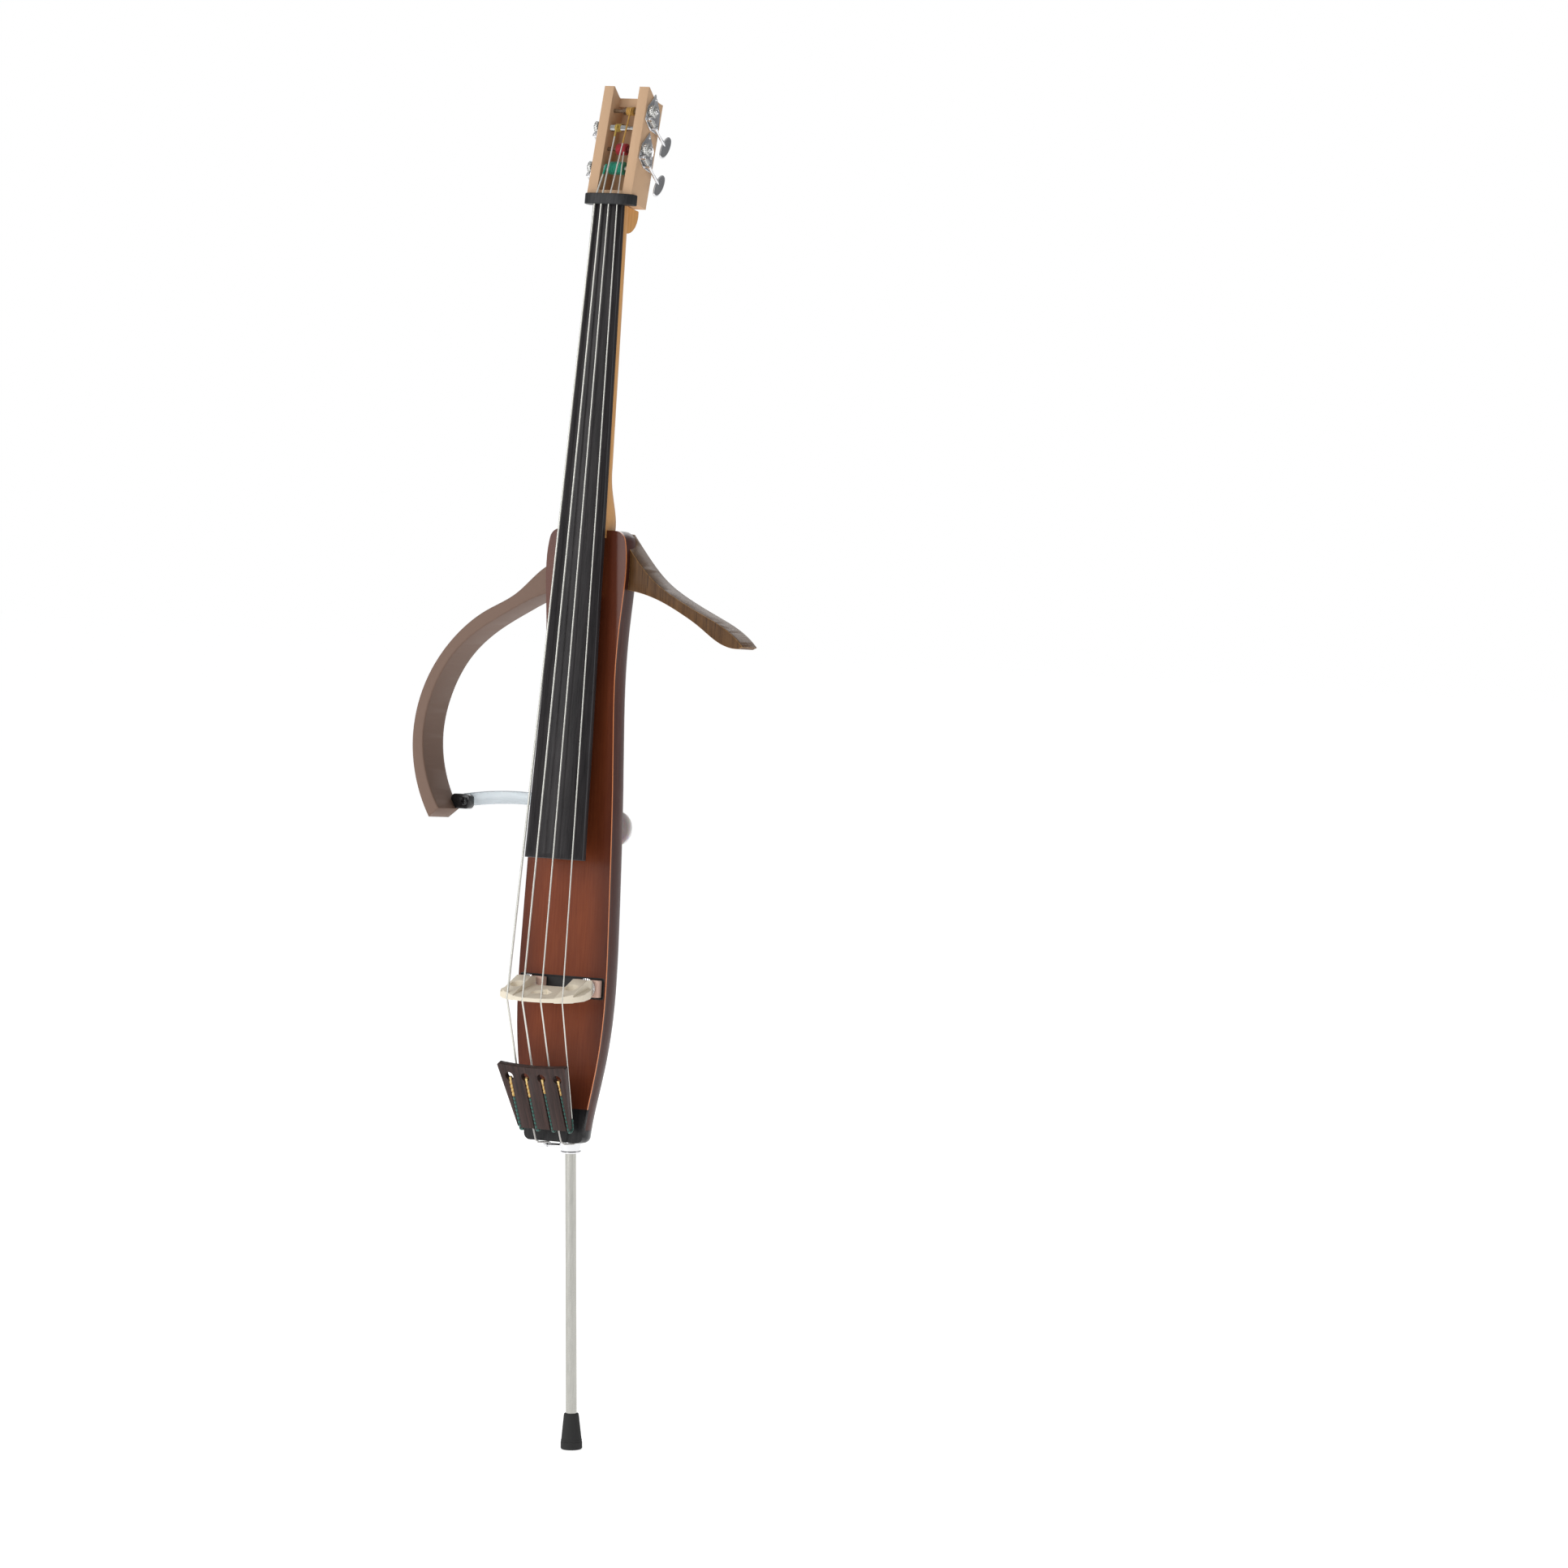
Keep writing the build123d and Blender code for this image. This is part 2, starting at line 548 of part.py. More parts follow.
for name, side in (("adjuster_left", -1), ("adjuster_right", 1)):
    with BuildPart() as adjuster:
        add(drum(top_point(side * ADJUSTER_X, 199.2, 2.3), OUT, 3.0, 22))
        with BuildSketch(TOP.offset(FOOT_TOP_H + 0.3)):
            with Locations((side * ADJUSTER_X, 199.2)):
                Circle(WHEEL_R)
                with PolarLocations(WHEEL_R + 0.4, 28):
                    Circle(0.7, mode=Mode.SUBTRACT)
        extrude(amount=WHEEL_T)
    save(adjuster.part, name)

LEG_H = FOOT_TOP_H + 0.3 + WHEEL_T + 0.3
with BuildPart() as bridge:
    add(slab(side_plane(0), [(-20, 188.2), (-20, 200), (-80, 181.9), (-80, 178)], 63, both=True))
    for side in (1, -1):
        leg = [(-LEG_H, 188.2), (-LEG_H, 210.2), (-24, 210.6), (-50, 196.4), (-68, 186), (-70, 179)]
        add(slab(side_plane(side * 42), leg, 11, both=True))
    with BuildSketch(body_section(160, 0)):
        with BuildLine():
            half = [(22, -22), (31, -LEG_H), (53, -LEG_H), (60.5, -28), (62.4, -46), (58, -55)]
            Polyline(*half)
            ThreePointArc((58, -55), (0, -73.5), (-58, -55))
            Polyline(*[(-x, y) for x, y in reversed(half)])
            Line((-22, -22), (22, -22))
        make_face()
        with Locations((40.5, -43), (-40.5, -43)):
            Ellipse(9, 7, mode=Mode.SUBTRACT)
        with Locations((7.5, -49), (-7.5, -49)):
            Circle(6.6, mode=Mode.SUBTRACT)
        with BuildLine():
            Polyline((13.6, -46.5), (0, -35), (-13.6, -46.5), close=True)
        make_face(mode=Mode.SUBTRACT)
    extrude(amount=80, mode=Mode.INTERSECT)
    for side in (1, -1):
        add(drum(top_point(side * ADJUSTER_X, 199.2, 0), OUT, 3.1, 25), mode=Mode.SUBTRACT)
    for string_part in strings.values():
        add(string_part, mode=Mode.SUBTRACT)
save(bridge.part.solids().sort_by(SortBy.VOLUME)[-1], "bridge")

# ---------------------------------------------------------------- endpin
COLLAR_TOP_Z = 403.7
with BuildPart() as endpin_collar:
    bore = TUBE_R + RUNNING_FIT
    sleeve_top = COLLAR_Z + SLEEVE_LENGTH
    add(turned([(bore, COLLAR_FOOT_Z + 1), (bore, sleeve_top), (SLEEVE_R, sleeve_top),
                (SLEEVE_R, COLLAR_TOP_Z), (COLLAR_R, COLLAR_TOP_Z), (COLLAR_R, 398),
                (12.6, COLLAR_FOOT_Z + 4), (13.4, COLLAR_FOOT_Z + 3), (13.4, COLLAR_FOOT_Z + 1)]))
    add(drum(Vector(-6, 0, 394), (-1, 0, 0), 3.08, 12), mode=Mode.SUBTRACT)
save(endpin_collar.part, "endpin_collar")

with BuildPart() as thumbscrew:
    add(drum(Vector(-7.6, 0, 394), (-1, 0, 0), 3.0, 28))
    with BuildSketch(Plane(origin=(-33, 0, 394), z_dir=(-1, 0, 0))):
        RectangleRounded(6, 12, 2)
    extrude(amount=14)
save(thumbscrew.part, "thumbscrew")

with BuildPart() as endpin_tube:
    add(turned([(TUBE_R - 1.4, 10), (TUBE_R, 10), (TUBE_R, TUBE_TOP_Z), (TUBE_R - 1.4, TUBE_TOP_Z)]))
save(endpin_tube.part, "endpin_tube")

with BuildPart() as endpin_foot:
    with BuildSketch(Plane.XZ):
        with BuildLine():
            Polyline((0, 0), (FOOT_R - 1, 0), (FOOT_R, 1.5), (FOOT_R, 11), (FOOT_R - 0.8, 12.5),
                     (FOOT_TOP_R, FOOT_HEIGHT - 2), (FOOT_TOP_R - 1, FOOT_HEIGHT), (TUBE_R, FOOT_HEIGHT),
                     (TUBE_R, 10), (0, 10), close=True)
        make_face()
    revolve(axis=Axis.Z)
save(endpin_foot.part, "endpin_foot")

# ---------------------------------------------------------------- bout frames
with BuildPart() as left_frame:
    with BuildSketch(TOP.offset(FRAME_FRONT_H)):
        with BuildLine():
            Spline((-30, 744), (-61, 738), (-110, 698), (-152, 675), (-196, 641), (-241, 572), (-253, 499),
                   (-240, 439), (-222, 404))
            Line((-222, 404), (-207, 416))
            Spline((-207, 416), (-229, 460), (-237, 512), (-227, 564), (-199, 615), (-160, 650), (-120, 674),
                   (-65, 700), (-30, 706))
            Line((-30, 706), (-30, 744))
        make_face()
    extrude(amount=-FRAME_DEPTH)
    fillet(left_frame.edges().filter_by(lambda e: (e.center() - FOOT).dot(OUT) > FRAME_FRONT_H - 0.1), 2)
    add(hull.part, mode=Mode.SUBTRACT)
    add(drum(top_point(-40, 725, -28), (-1, 0, 0), 3, 40), mode=Mode.SUBTRACT)
save(left_frame.part, "left_frame")

with BuildPart() as right_frame:
    with BuildSketch(TOP.offset(FRAME_FRONT_H)):
        with BuildLine():
            Line((30, 711), (30, 783))
            Line((30, 783), (42, 782))
            Spline((42, 782), (68, 751), (97, 723), (130, 703), (166, 686), (204, 668), (232, 646))
            Line((232, 646), (226, 643))
            Spline((226, 643), (198, 649), (166, 669), (141, 683), (103, 700), (61, 710), (30, 711))
        make_face()
    extrude(amount=-RIGHT_DEPTH)
    add(hull.part, mode=Mode.SUBTRACT)
    add(drum(top_point(40, 725, -28), (1, 0, 0), 3, 40), mode=Mode.SUBTRACT)
save(right_frame.part, "right_frame")

with BuildPart() as frame_bolts:
    for side in (1, -1):
        add(drum(top_point(side * 47, 725, -28), (side, 0, 0), 3, 32))
save(frame_bolts.part, "frame_bolts")

# ---------------------------------------------------------------- band, clip and pad
BAND_START, BAND_END = top_point(-203, 427, -66), top_point(PAD_X, PAD_V, -70)
BAND_LENGTH = (BAND_END - BAND_START).length
BAND_ALONG = (BAND_END - BAND_START).normalized()
BAND_BOW, BAND_TILT, PAD_H, PAD_T = 27.0, 38.0, -80.6, 12.0
band_face = OUT * cos(radians(BAND_TILT)) - UP * sin(radians(BAND_TILT))
band_plane = Plane(origin=(BAND_START + BAND_END) * 0.5, x_dir=BAND_ALONG, z_dir=BAND_ALONG.cross(band_face))
stud_axis = -OUT
with BuildPart() as pad_stud:
    add(drum(top_point(PAD_X, PAD_V, -45), stud_axis, 5, -45 - PAD_H))
    add(hull.part, mode=Mode.SUBTRACT)
save(pad_stud.part, "pad_stud")

with BuildPart() as band_clip:
    with BuildSketch(TOP.offset(-52)):
        with Locations((-201, 426)):
            RectangleRounded(28, 19, 6)
    extrude(amount=-12.5)
    add(left_frame.part, mode=Mode.SUBTRACT)
    add(drum(top_point(-194, 426, -51), stud_axis, 2.5, 8), mode=Mode.SUBTRACT)
save(band_clip.part, "band_clip")

with BuildPart() as clip_screw:
    add(drum(top_point(-194, 426, -51.9), stud_axis, 2.5, 6))
    with BuildSketch(TOP.offset(-52)):
        with Locations((-194, 426)):
            Circle(5)
    extrude(amount=2.4)
    fillet(clip_screw.edges().filter_by(GeomType.CIRCLE).sort_by(Axis.Y)[0], 1.5)
save(clip_screw.part, "clip_screw")

with BuildPart() as body_pad:
    with BuildSketch(TOP.offset(PAD_H)):
        with Locations((PAD_X, PAD_V)):
            Circle(PAD_R)
    extrude(amount=-PAD_T)
    fillet(body_pad.edges().filter_by(GeomType.CIRCLE).sort_by(Axis.Y)[-1], 8)
save(body_pad.part, "body_pad")

with BuildPart() as band:
    with BuildSketch(band_plane):
        with BuildLine():
            sign = 1 if band_plane.to_local_coords(band_plane.origin - band_face).Y > 0 else -1
            half = BAND_LENGTH / 2
            ThreePointArc((-half, 0), (0, sign * BAND_BOW), (half, 0))
            Line((half, 0), (half, sign * BAND_T))
            ThreePointArc((half, sign * BAND_T), (0, sign * (BAND_BOW + BAND_T)), (-half, sign * BAND_T))
            Line((-half, sign * BAND_T), (-half, 0))
        make_face()
    extrude(amount=BAND_W / 2, both=True)
    add(hull.part, mode=Mode.SUBTRACT)
    add(band_clip.part, mode=Mode.SUBTRACT)
    add(pad_stud.part, mode=Mode.SUBTRACT)
    add(body_pad.part, mode=Mode.SUBTRACT)
save(band.part.solids().sort_by(SortBy.VOLUME)[-1], "band")

save(body_back.part, "body_back")

# ---------------------------------------------------------------- controls in the back
PANEL = TOP.offset(PANEL_FLOOR_H)
JACKS = (("output_jack", 14.0, 608.0, 6.2, JACK_R), ("phones_jack", -14.0, 608.0, 4.4, 1.8))
SWITCH_V, SWITCH_TRAVEL = 628.0, 4.0
SCREW_AT = [(x, v) for x in (-22, 22) for v in (PANEL_LOW_V + 4, PANEL_HIGH_V - 4)]
with BuildPart() as control_panel:
    with BuildSketch(PANEL):
        with Locations((0, panel_middle)):
            RectangleRounded(PANEL_W, PANEL_HIGH_V - PANEL_LOW_V, 3)
        with Locations(*[(0, v) for v in KNOB_V]):
            Circle(3.1, mode=Mode.SUBTRACT)
        for _, x, v, r, _ in JACKS:
            with Locations((x, v)):
                Circle(r, mode=Mode.SUBTRACT)
        with Locations((0, SWITCH_V)):
            Rectangle(4.4 + SWITCH_TRAVEL, 4.4, mode=Mode.SUBTRACT)
        with Locations(*SCREW_AT):
            Circle(1.5, mode=Mode.SUBTRACT)
    extrude(amount=-PANEL_T)
save(control_panel.part, "control_panel")

with BuildPart() as panel_screws:
    for x, v in SCREW_AT:
        with BuildSketch(TOP.offset(PANEL_FLOOR_H - PANEL_T)):
            with Locations((x, v)):
                Circle(3)
        extrude(amount=-1.6)
        with BuildSketch(TOP.offset(PANEL_FLOOR_H)):
            with Locations((x, v)):
                Circle(1.5)
        extrude(amount=-PANEL_T)
save(panel_screws.part, "panel_screws")

for name, v in zip(("knob_volume", "knob_bass", "knob_treble"), KNOB_V):
    with BuildPart() as knob:
        with BuildSketch(TOP.offset(PANEL_FLOOR_H - PANEL_T - 0.5)):
            with Locations((0, v)):
                Circle(KNOB_R)
                with PolarLocations(KNOB_R + 0.3, 18):
                    Circle(0.8, mode=Mode.SUBTRACT)
        extrude(amount=-KNOB_H)
        add(drum(top_point(0, v, PANEL_FLOOR_H + 3), stud_axis, 3.0, 7))
    save(knob.part, name)

with BuildPart() as pots:
    for v in KNOB_V:
        with BuildSketch(TOP.offset(PANEL_FLOOR_H)):
            with Locations((0, v)):
                Circle(8)
        extrude(amount=9)
        add(drum(top_point(0, v, PANEL_FLOOR_H + 3.2), stud_axis, 3.05, 8), mode=Mode.SUBTRACT)
save(pots.part, "pots")

with BuildPart() as power_switch:
    with BuildSketch(TOP.offset(PANEL_FLOOR_H)):
        with Locations((-SWITCH_TRAVEL / 2, SWITCH_V)):
            Rectangle(4, 4)
    extrude(amount=-PANEL_T - 2.5)
save(power_switch.part, "power_switch")

for name, x, v, r, bore in JACKS:
    with BuildPart() as jack:
        with BuildSketch(TOP.offset(PANEL_FLOOR_H - PANEL_T - 2)):
            with Locations((x, v)):
                Circle(r)
        extrude(amount=PANEL_T + 2 + 22)
        with BuildSketch(TOP.offset(PANEL_FLOOR_H - PANEL_T - 3)):
            with Locations((x, v)):
                Circle(bore)
        extrude(amount=24, mode=Mode.SUBTRACT)
    save(jack.part, name)

with BuildPart() as preamp_board:
    with BuildSketch(TOP.offset(-34)):
        with Locations((0, 550)):
            Rectangle(40, 84)
    extrude(amount=-1.6)
save(preamp_board.part, "preamp_board")

with BuildPart() as battery_door:
    with BuildSketch(TOP.offset(DOOR_FLOOR_H - DOOR_GAP)):
        with Locations((0, (DOOR_LOW_V + DOOR_HIGH_V) / 2)):
            Rectangle(DOOR_W, DOOR_HIGH_V - DOOR_LOW_V)
    extrude(amount=-(DOOR_T - DOOR_GAP))
    low_edges = battery_door.edges().filter_by(lambda e: (e.center() - FOOT).dot(UP) < DOOR_LOW_V + 0.01)
    fillet(low_edges.filter_by(lambda e: abs(e.tangent_at(0.5).X) > 0.99), (DOOR_T - DOOR_GAP) / 2 - 0.02)
    pins_from = top_point(-DOOR_W / 2 - HINGE_PIN_REACH, DOOR_LOW_V + DOOR_T / 2, DOOR_FLOOR_H - DOOR_T / 2)
    add(drum(pins_from, (1, 0, 0), HINGE_PIN_R, DOOR_W + 2 * HINGE_PIN_REACH))
save(battery_door.part, "battery_door")

with BuildPart() as battery_box:
    with BuildSketch(TOP.offset(DOOR_FLOOR_H + 0.3)):
        with Locations((0, 271)):
            Rectangle(35, 60)
    extrude(amount=18)
    with BuildSketch(TOP.offset(DOOR_FLOOR_H + 0.2)):
        with Locations((0, 271)):
            Rectangle(31, 56)
    extrude(amount=16, mode=Mode.SUBTRACT)
save(battery_box.part, "battery_box")

with BuildPart() as battery_cells:
    for x in (-7.5, 7.5):
        add(drum(top_point(x, 246, DOOR_FLOOR_H + 8.6), UP, 7.0, 50))
save(battery_cells.part, "battery_cells")
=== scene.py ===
"""Electric upright bass: surfaces, finishes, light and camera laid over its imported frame.

Metres, +Z up, the strings face -Y and +X is the right of someone facing them.  Most pieces
stand in one of four leaning frames, each with x across, v up along it and h out of its front.
"""

from __future__ import annotations

import json
import logging
import math
from dataclasses import dataclass
from enum import Enum
from typing import Callable

import bmesh
import bpy
import numpy as np
from mathutils import Matrix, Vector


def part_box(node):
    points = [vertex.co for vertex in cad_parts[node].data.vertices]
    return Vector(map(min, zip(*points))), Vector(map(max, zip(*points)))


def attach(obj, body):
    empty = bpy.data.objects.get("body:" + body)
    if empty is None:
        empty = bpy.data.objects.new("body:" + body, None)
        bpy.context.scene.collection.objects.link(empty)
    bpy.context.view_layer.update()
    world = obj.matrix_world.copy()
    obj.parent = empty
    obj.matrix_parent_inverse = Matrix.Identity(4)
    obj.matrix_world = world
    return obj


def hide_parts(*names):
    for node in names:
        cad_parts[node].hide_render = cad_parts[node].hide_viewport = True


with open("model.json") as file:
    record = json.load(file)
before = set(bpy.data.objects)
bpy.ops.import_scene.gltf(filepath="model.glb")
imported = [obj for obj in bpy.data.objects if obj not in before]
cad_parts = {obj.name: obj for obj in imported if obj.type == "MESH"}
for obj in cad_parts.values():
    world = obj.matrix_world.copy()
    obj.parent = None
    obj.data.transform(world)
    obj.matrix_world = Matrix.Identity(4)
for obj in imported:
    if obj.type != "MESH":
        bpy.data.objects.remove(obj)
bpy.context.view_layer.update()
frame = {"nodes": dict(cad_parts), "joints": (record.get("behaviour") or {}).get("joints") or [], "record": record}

LOG = logging.getLogger("bass")
MM = 0.001
Colour = tuple[float, float, float]
Tone = tuple[float, float, float, float]
Array = np.ndarray


# ---------------------------------------------------------------- frames
@dataclass(frozen=True)
class Leaning:
    """A frame that leans back from the vertical about X by an angle in degrees."""

    origin: tuple[float, float, float]
    lean: float

    @property
    def up(self) -> Array:
        """The direction of v."""
        return np.array((0.0, math.sin(math.radians(self.lean)), math.cos(math.radians(self.lean))))

    @property
    def out(self) -> Array:
        """The direction of h."""
        return np.array((0.0, -math.cos(math.radians(self.lean)), math.sin(math.radians(self.lean))))

    def point(self, x: float | Array, v: float | Array, h: float | Array) -> Array:
        """Places points given in millimetres.

        Args:
            x, v, h: coordinates across, up along and out of the frame, numbers or arrays.

        Returns:
            The points in metres, with a last axis of three.
        """
        x, v, h = np.broadcast_arrays(np.asarray(x, float), v, h)
        across = np.stack([x, np.zeros_like(x), np.zeros_like(x)], axis=-1)
        local = across + v[..., None] * self.up + h[..., None] * self.out
        return np.array(self.origin) + MM * local


BODY = Leaning((0.0, -0.0442, 0.4067), 6.65)
HEAD = Leaning((0.0, 0.098, 1.605), 18.4)
NUT_END, BOARD_END = np.array((0.0, 0.097, 1.600)), np.array((0.0, -0.040, 0.771))
BOARD = Leaning(tuple(NUT_END), math.degrees(math.atan2(*(NUT_END - BOARD_END)[1:])))
TAIL_TILT = math.degrees(math.atan2(65.3 - 23.8, 97.6 - 15.6))
TAIL = Leaning(tuple(BODY.point(0, 15.6, 23.8)), BODY.lean - TAIL_TILT)


class Axis(Enum):
    """Which way a finish's grain or brushing runs."""

    ALONG = (1.0, 1.0, 0.045)
    EVEN = (1.0, 1.0, 1.0)


# ---------------------------------------------------------------- shader helpers
def put(tree: bpy.types.NodeTree, kind: str, sockets: dict | None = None, **settings) -> bpy.types.Node:
    """Adds a node to a tree.

    Args:
        tree: the node tree.
        kind: the node's type.
        sockets: inputs by name or index, each a plain value or another node's output.
        settings: properties of the node.

    Returns:
        The new node.
    """
    made = tree.nodes.new(kind)
    for key, value in settings.items():
        setattr(made, key, value)
    for key, value in (sockets or {}).items():
        if isinstance(value, bpy.types.NodeSocket):
            tree.links.new(value, made.inputs[key])
        else:
            made.inputs[key].default_value = value
    return made


def math_node(tree: bpy.types.NodeTree, operation: str, *values) -> bpy.types.NodeSocket:
    """Adds a Math node and returns its output."""
    return put(tree, "ShaderNodeMath", dict(enumerate(values)), operation=operation).outputs[0]


def mixed(tree: bpy.types.NodeTree, factor, first, second, blend: str = "MIX") -> bpy.types.NodeSocket:
    """Adds a colour Mix node and returns its output."""
    node = put(tree, "ShaderNodeMix", {0: factor, 6: first, 7: second}, data_type="RGBA", blend_type=blend)
    return node.outputs[2]


def spread(tree: bpy.types.NodeTree, value, low: float, high: float, to_low: float = 0.0,
           to_high: float = 1.0) -> bpy.types.NodeSocket:
    """Adds a clamped Map Range node and returns its output."""
    return put(tree, "ShaderNodeMapRange", {0: value, 1: low, 2: high, 3: to_low, 4: to_high}).outputs[0]


def noise(tree: bpy.types.NodeTree, vector, scale, detail: float = 4.0,
          roughness: float = 0.55) -> bpy.types.NodeSocket:
    """Adds a noise texture and returns its value."""
    sockets = {"Vector": vector, "Scale": scale, "Detail": detail, "Roughness": roughness}
    return put(tree, "ShaderNodeTexNoise", sockets).outputs[0]


def new_group(name: str, inputs: dict[str, str], outputs: dict[str, str]) -> tuple:
    """Makes an empty shader node group with named sockets.

    Args:
        name: the group's name.
        inputs: socket name to socket kind, such as Float, Color or Vector.
        outputs: the same for what it gives.

    Returns:
        The group, its input node's outputs and its output node's inputs.
    """
    group = bpy.data.node_groups.new(name, "ShaderNodeTree")
    for way, sockets in (("INPUT", inputs), ("OUTPUT", outputs)):
        for socket, kind in sockets.items():
            group.interface.new_socket(socket, in_out=way, socket_type=f"NodeSocket{kind}")
    return group, group.nodes.new("NodeGroupInput").outputs, group.nodes.new("NodeGroupOutput").inputs


def stretched(tree: bpy.types.NodeTree, vector, scale: Colour) -> bpy.types.NodeSocket:
    """Scales a vector by a fixed amount each way."""
    return put(tree, "ShaderNodeVectorMath", {0: vector, 1: scale}, operation="MULTIPLY").outputs[0]


def grain_group() -> bpy.types.NodeTree:
    """Straight timber grain: stretched noise for the growth lines, finer streaks for pores, slow figure."""
    group, given, result = new_group(
        "timber_grain",
        {"Vector": "Vector", "Dark": "Color", "Light": "Color", "Pore": "Color", "Lines": "Float",
         "Pores": "Float"},
        {"Color": "Color", "Height": "Float"})
    along = stretched(group, given["Vector"], Axis.ALONG.value)
    lines = noise(group, along, given["Lines"], 5.0, 0.62)
    slow = noise(group, stretched(group, given["Vector"], (1.0, 1.0, 0.28)), 16.0, 3.0)
    body = math_node(group, "ADD", math_node(group, "MULTIPLY", lines, 0.62),
                     math_node(group, "MULTIPLY", slow, 0.38))
    colour = mixed(group, spread(group, body, 0.36, 0.64), given["Dark"], given["Light"])
    fine = noise(group, stretched(group, given["Vector"], (1.0, 1.0, 0.03)), 620.0, 2.0)
    pores = spread(group, fine, 0.6, 0.7)
    colour = mixed(group, math_node(group, "MULTIPLY", pores, given["Pores"]), colour, given["Pore"])
    group.links.new(colour, result["Color"])
    group.links.new(math_node(group, "SUBTRACT", lines, pores), result["Height"])
    return group


def handling_group() -> bpy.types.NodeTree:
    """Handled surface: slow smears and fine specks move the roughness, specks give a little height."""
    group, given, result = new_group(
        "handling", {"Vector": "Vector", "Roughness": "Float", "Smear": "Float"},
        {"Roughness": "Float", "Height": "Float", "Dust": "Float"})
    slow = noise(group, given["Vector"], 34.0, 3.0, 0.6)
    fine = noise(group, given["Vector"], 900.0, 2.0)
    shift = math_node(group, "MULTIPLY", math_node(group, "SUBTRACT", slow, 0.5), given["Smear"])
    group.links.new(math_node(group, "ADD", given["Roughness"], shift), result["Roughness"])
    group.links.new(fine, result["Height"])
    group.links.new(spread(group, slow, 0.5, 0.8), result["Dust"])
    return group


def twist_group() -> bpy.types.NodeTree:
    """Twisted strands: a spiral of two colours worked out from the turns along and the way round."""
    group, given, result = new_group(
        "twist", {"Vector": "Vector", "First": "Color", "Second": "Color", "Share": "Float"},
        {"Color": "Color", "Height": "Float"})
    parts = put(group, "ShaderNodeSeparateXYZ", {0: given["Vector"]}).outputs
    phase = math_node(group, "FRACT", math_node(group, "SUBTRACT", parts[0], parts[1]))
    band = math_node(group, "LESS_THAN", phase, given["Share"])
    fibres = noise(group, stretched(group, given["Vector"], (9.0, 40.0, 1.0)), 3.0, 3.0)
    colour = mixed(group, band, given["First"], given["Second"])
    shade = mixed(group, 1.0, colour, mixed(group, spread(group, fibres, 0.3, 0.7), (0.45, 0.45, 0.45, 1.0),
                                            (1.25, 1.25, 1.25, 1.0)), "MULTIPLY")
    group.links.new(shade, result["Color"])
    group.links.new(fibres, result["Height"])
    return group


GROUPS = {"grain": grain_group(), "handling": handling_group(), "twist": twist_group()}


def placed(tree: bpy.types.NodeTree, stand: Leaning) -> bpy.types.NodeSocket:
    """Object coordinates turned into a leaning frame: x, minus h and v, in metres."""
    lean = math.radians(stand.lean)
    _, y, z = stand.origin
    move = (0.0, -(y * math.cos(lean) - z * math.sin(lean)), -(y * math.sin(lean) + z * math.cos(lean)))
    spot = put(tree, "ShaderNodeTexCoord").outputs["Object"]
    return put(tree, "ShaderNodeMapping",
               {"Vector": spot, "Location": move, "Rotation": (lean, 0.0, 0.0)}).outputs[0]


def grouped(tree: bpy.types.NodeTree, name: str, sockets: dict) -> bpy.types.Node:
    """Places one of the shared groups in a material."""
    made = tree.nodes.new("ShaderNodeGroup")
    made.node_tree = GROUPS[name]
    for key, value in sockets.items():
        if isinstance(value, bpy.types.NodeSocket):
            tree.links.new(value, made.inputs[key])
        else:
            made.inputs[key].default_value = value
    return made


def rgba(colour: Colour) -> tuple[float, float, float, float]:
    """A colour with full alpha."""
    return (*colour, 1.0)


# ---------------------------------------------------------------- finishes
class Finish:
    """Something that dresses a piece.  Each subclass paints its own shader."""

    name: str

    def material(self) -> bpy.types.Material:
        """Returns the finish's material, making it the first time."""
        known = bpy.data.materials.get(self.name)
        if known:
            return known
        made = bpy.data.materials.new(self.name)
        made.use_nodes = True
        tree = made.node_tree
        self.paint(tree, tree.nodes["Principled BSDF"])
        return made

    def paint(self, tree: bpy.types.NodeTree, shader: bpy.types.Node) -> None:
        """Wires the finish into a new material's Principled shader."""
        raise NotImplementedError

    @staticmethod
    def bump(tree: bpy.types.NodeTree, shader: bpy.types.Node, height, strength: float,
             distance: float = 0.0002) -> None:
        """Feeds a height into the shader's normal."""
        node = put(tree, "ShaderNodeBump", {"Strength": strength, "Distance": distance, "Height": height})
        tree.links.new(node.outputs[0], shader.inputs["Normal"])


@dataclass(frozen=True)
class Timber(Finish):
    """Plain sawn or carved wood with straight grain, oiled or lacquered."""

    name: str
    dark: Colour
    light: Colour
    pore: Colour = (0.02, 0.01, 0.006)
    lines: float = 260.0
    pores: float = 0.5
    roughness: float = 0.42
    smear: float = 0.12
    coat: float = 0.0
    relief: float = 0.25
    shine: float = 0.2
    stand: Leaning = BODY

    def paint(self, tree: bpy.types.NodeTree, shader: bpy.types.Node) -> None:
        """Grain colours the wood, pores dent it and handling moves its gloss."""
        where = placed(tree, self.stand)
        grain = grouped(tree, "grain", {"Vector": where, "Dark": rgba(self.dark), "Light": rgba(self.light),
                                        "Pore": rgba(self.pore), "Lines": self.lines, "Pores": self.pores})
        touch = grouped(tree, "handling", {"Vector": where, "Roughness": self.roughness, "Smear": self.smear})
        tree.links.new(grain.outputs["Color"], shader.inputs["Base Color"])
        tree.links.new(touch.outputs["Roughness"], shader.inputs["Roughness"])
        shader.inputs["Specular IOR Level"].default_value = self.shine
        shader.inputs["Coat Weight"].default_value = self.coat
        shader.inputs["Coat Roughness"].default_value = 0.12
        self.bump(tree, shader, grain.outputs["Height"], self.relief)


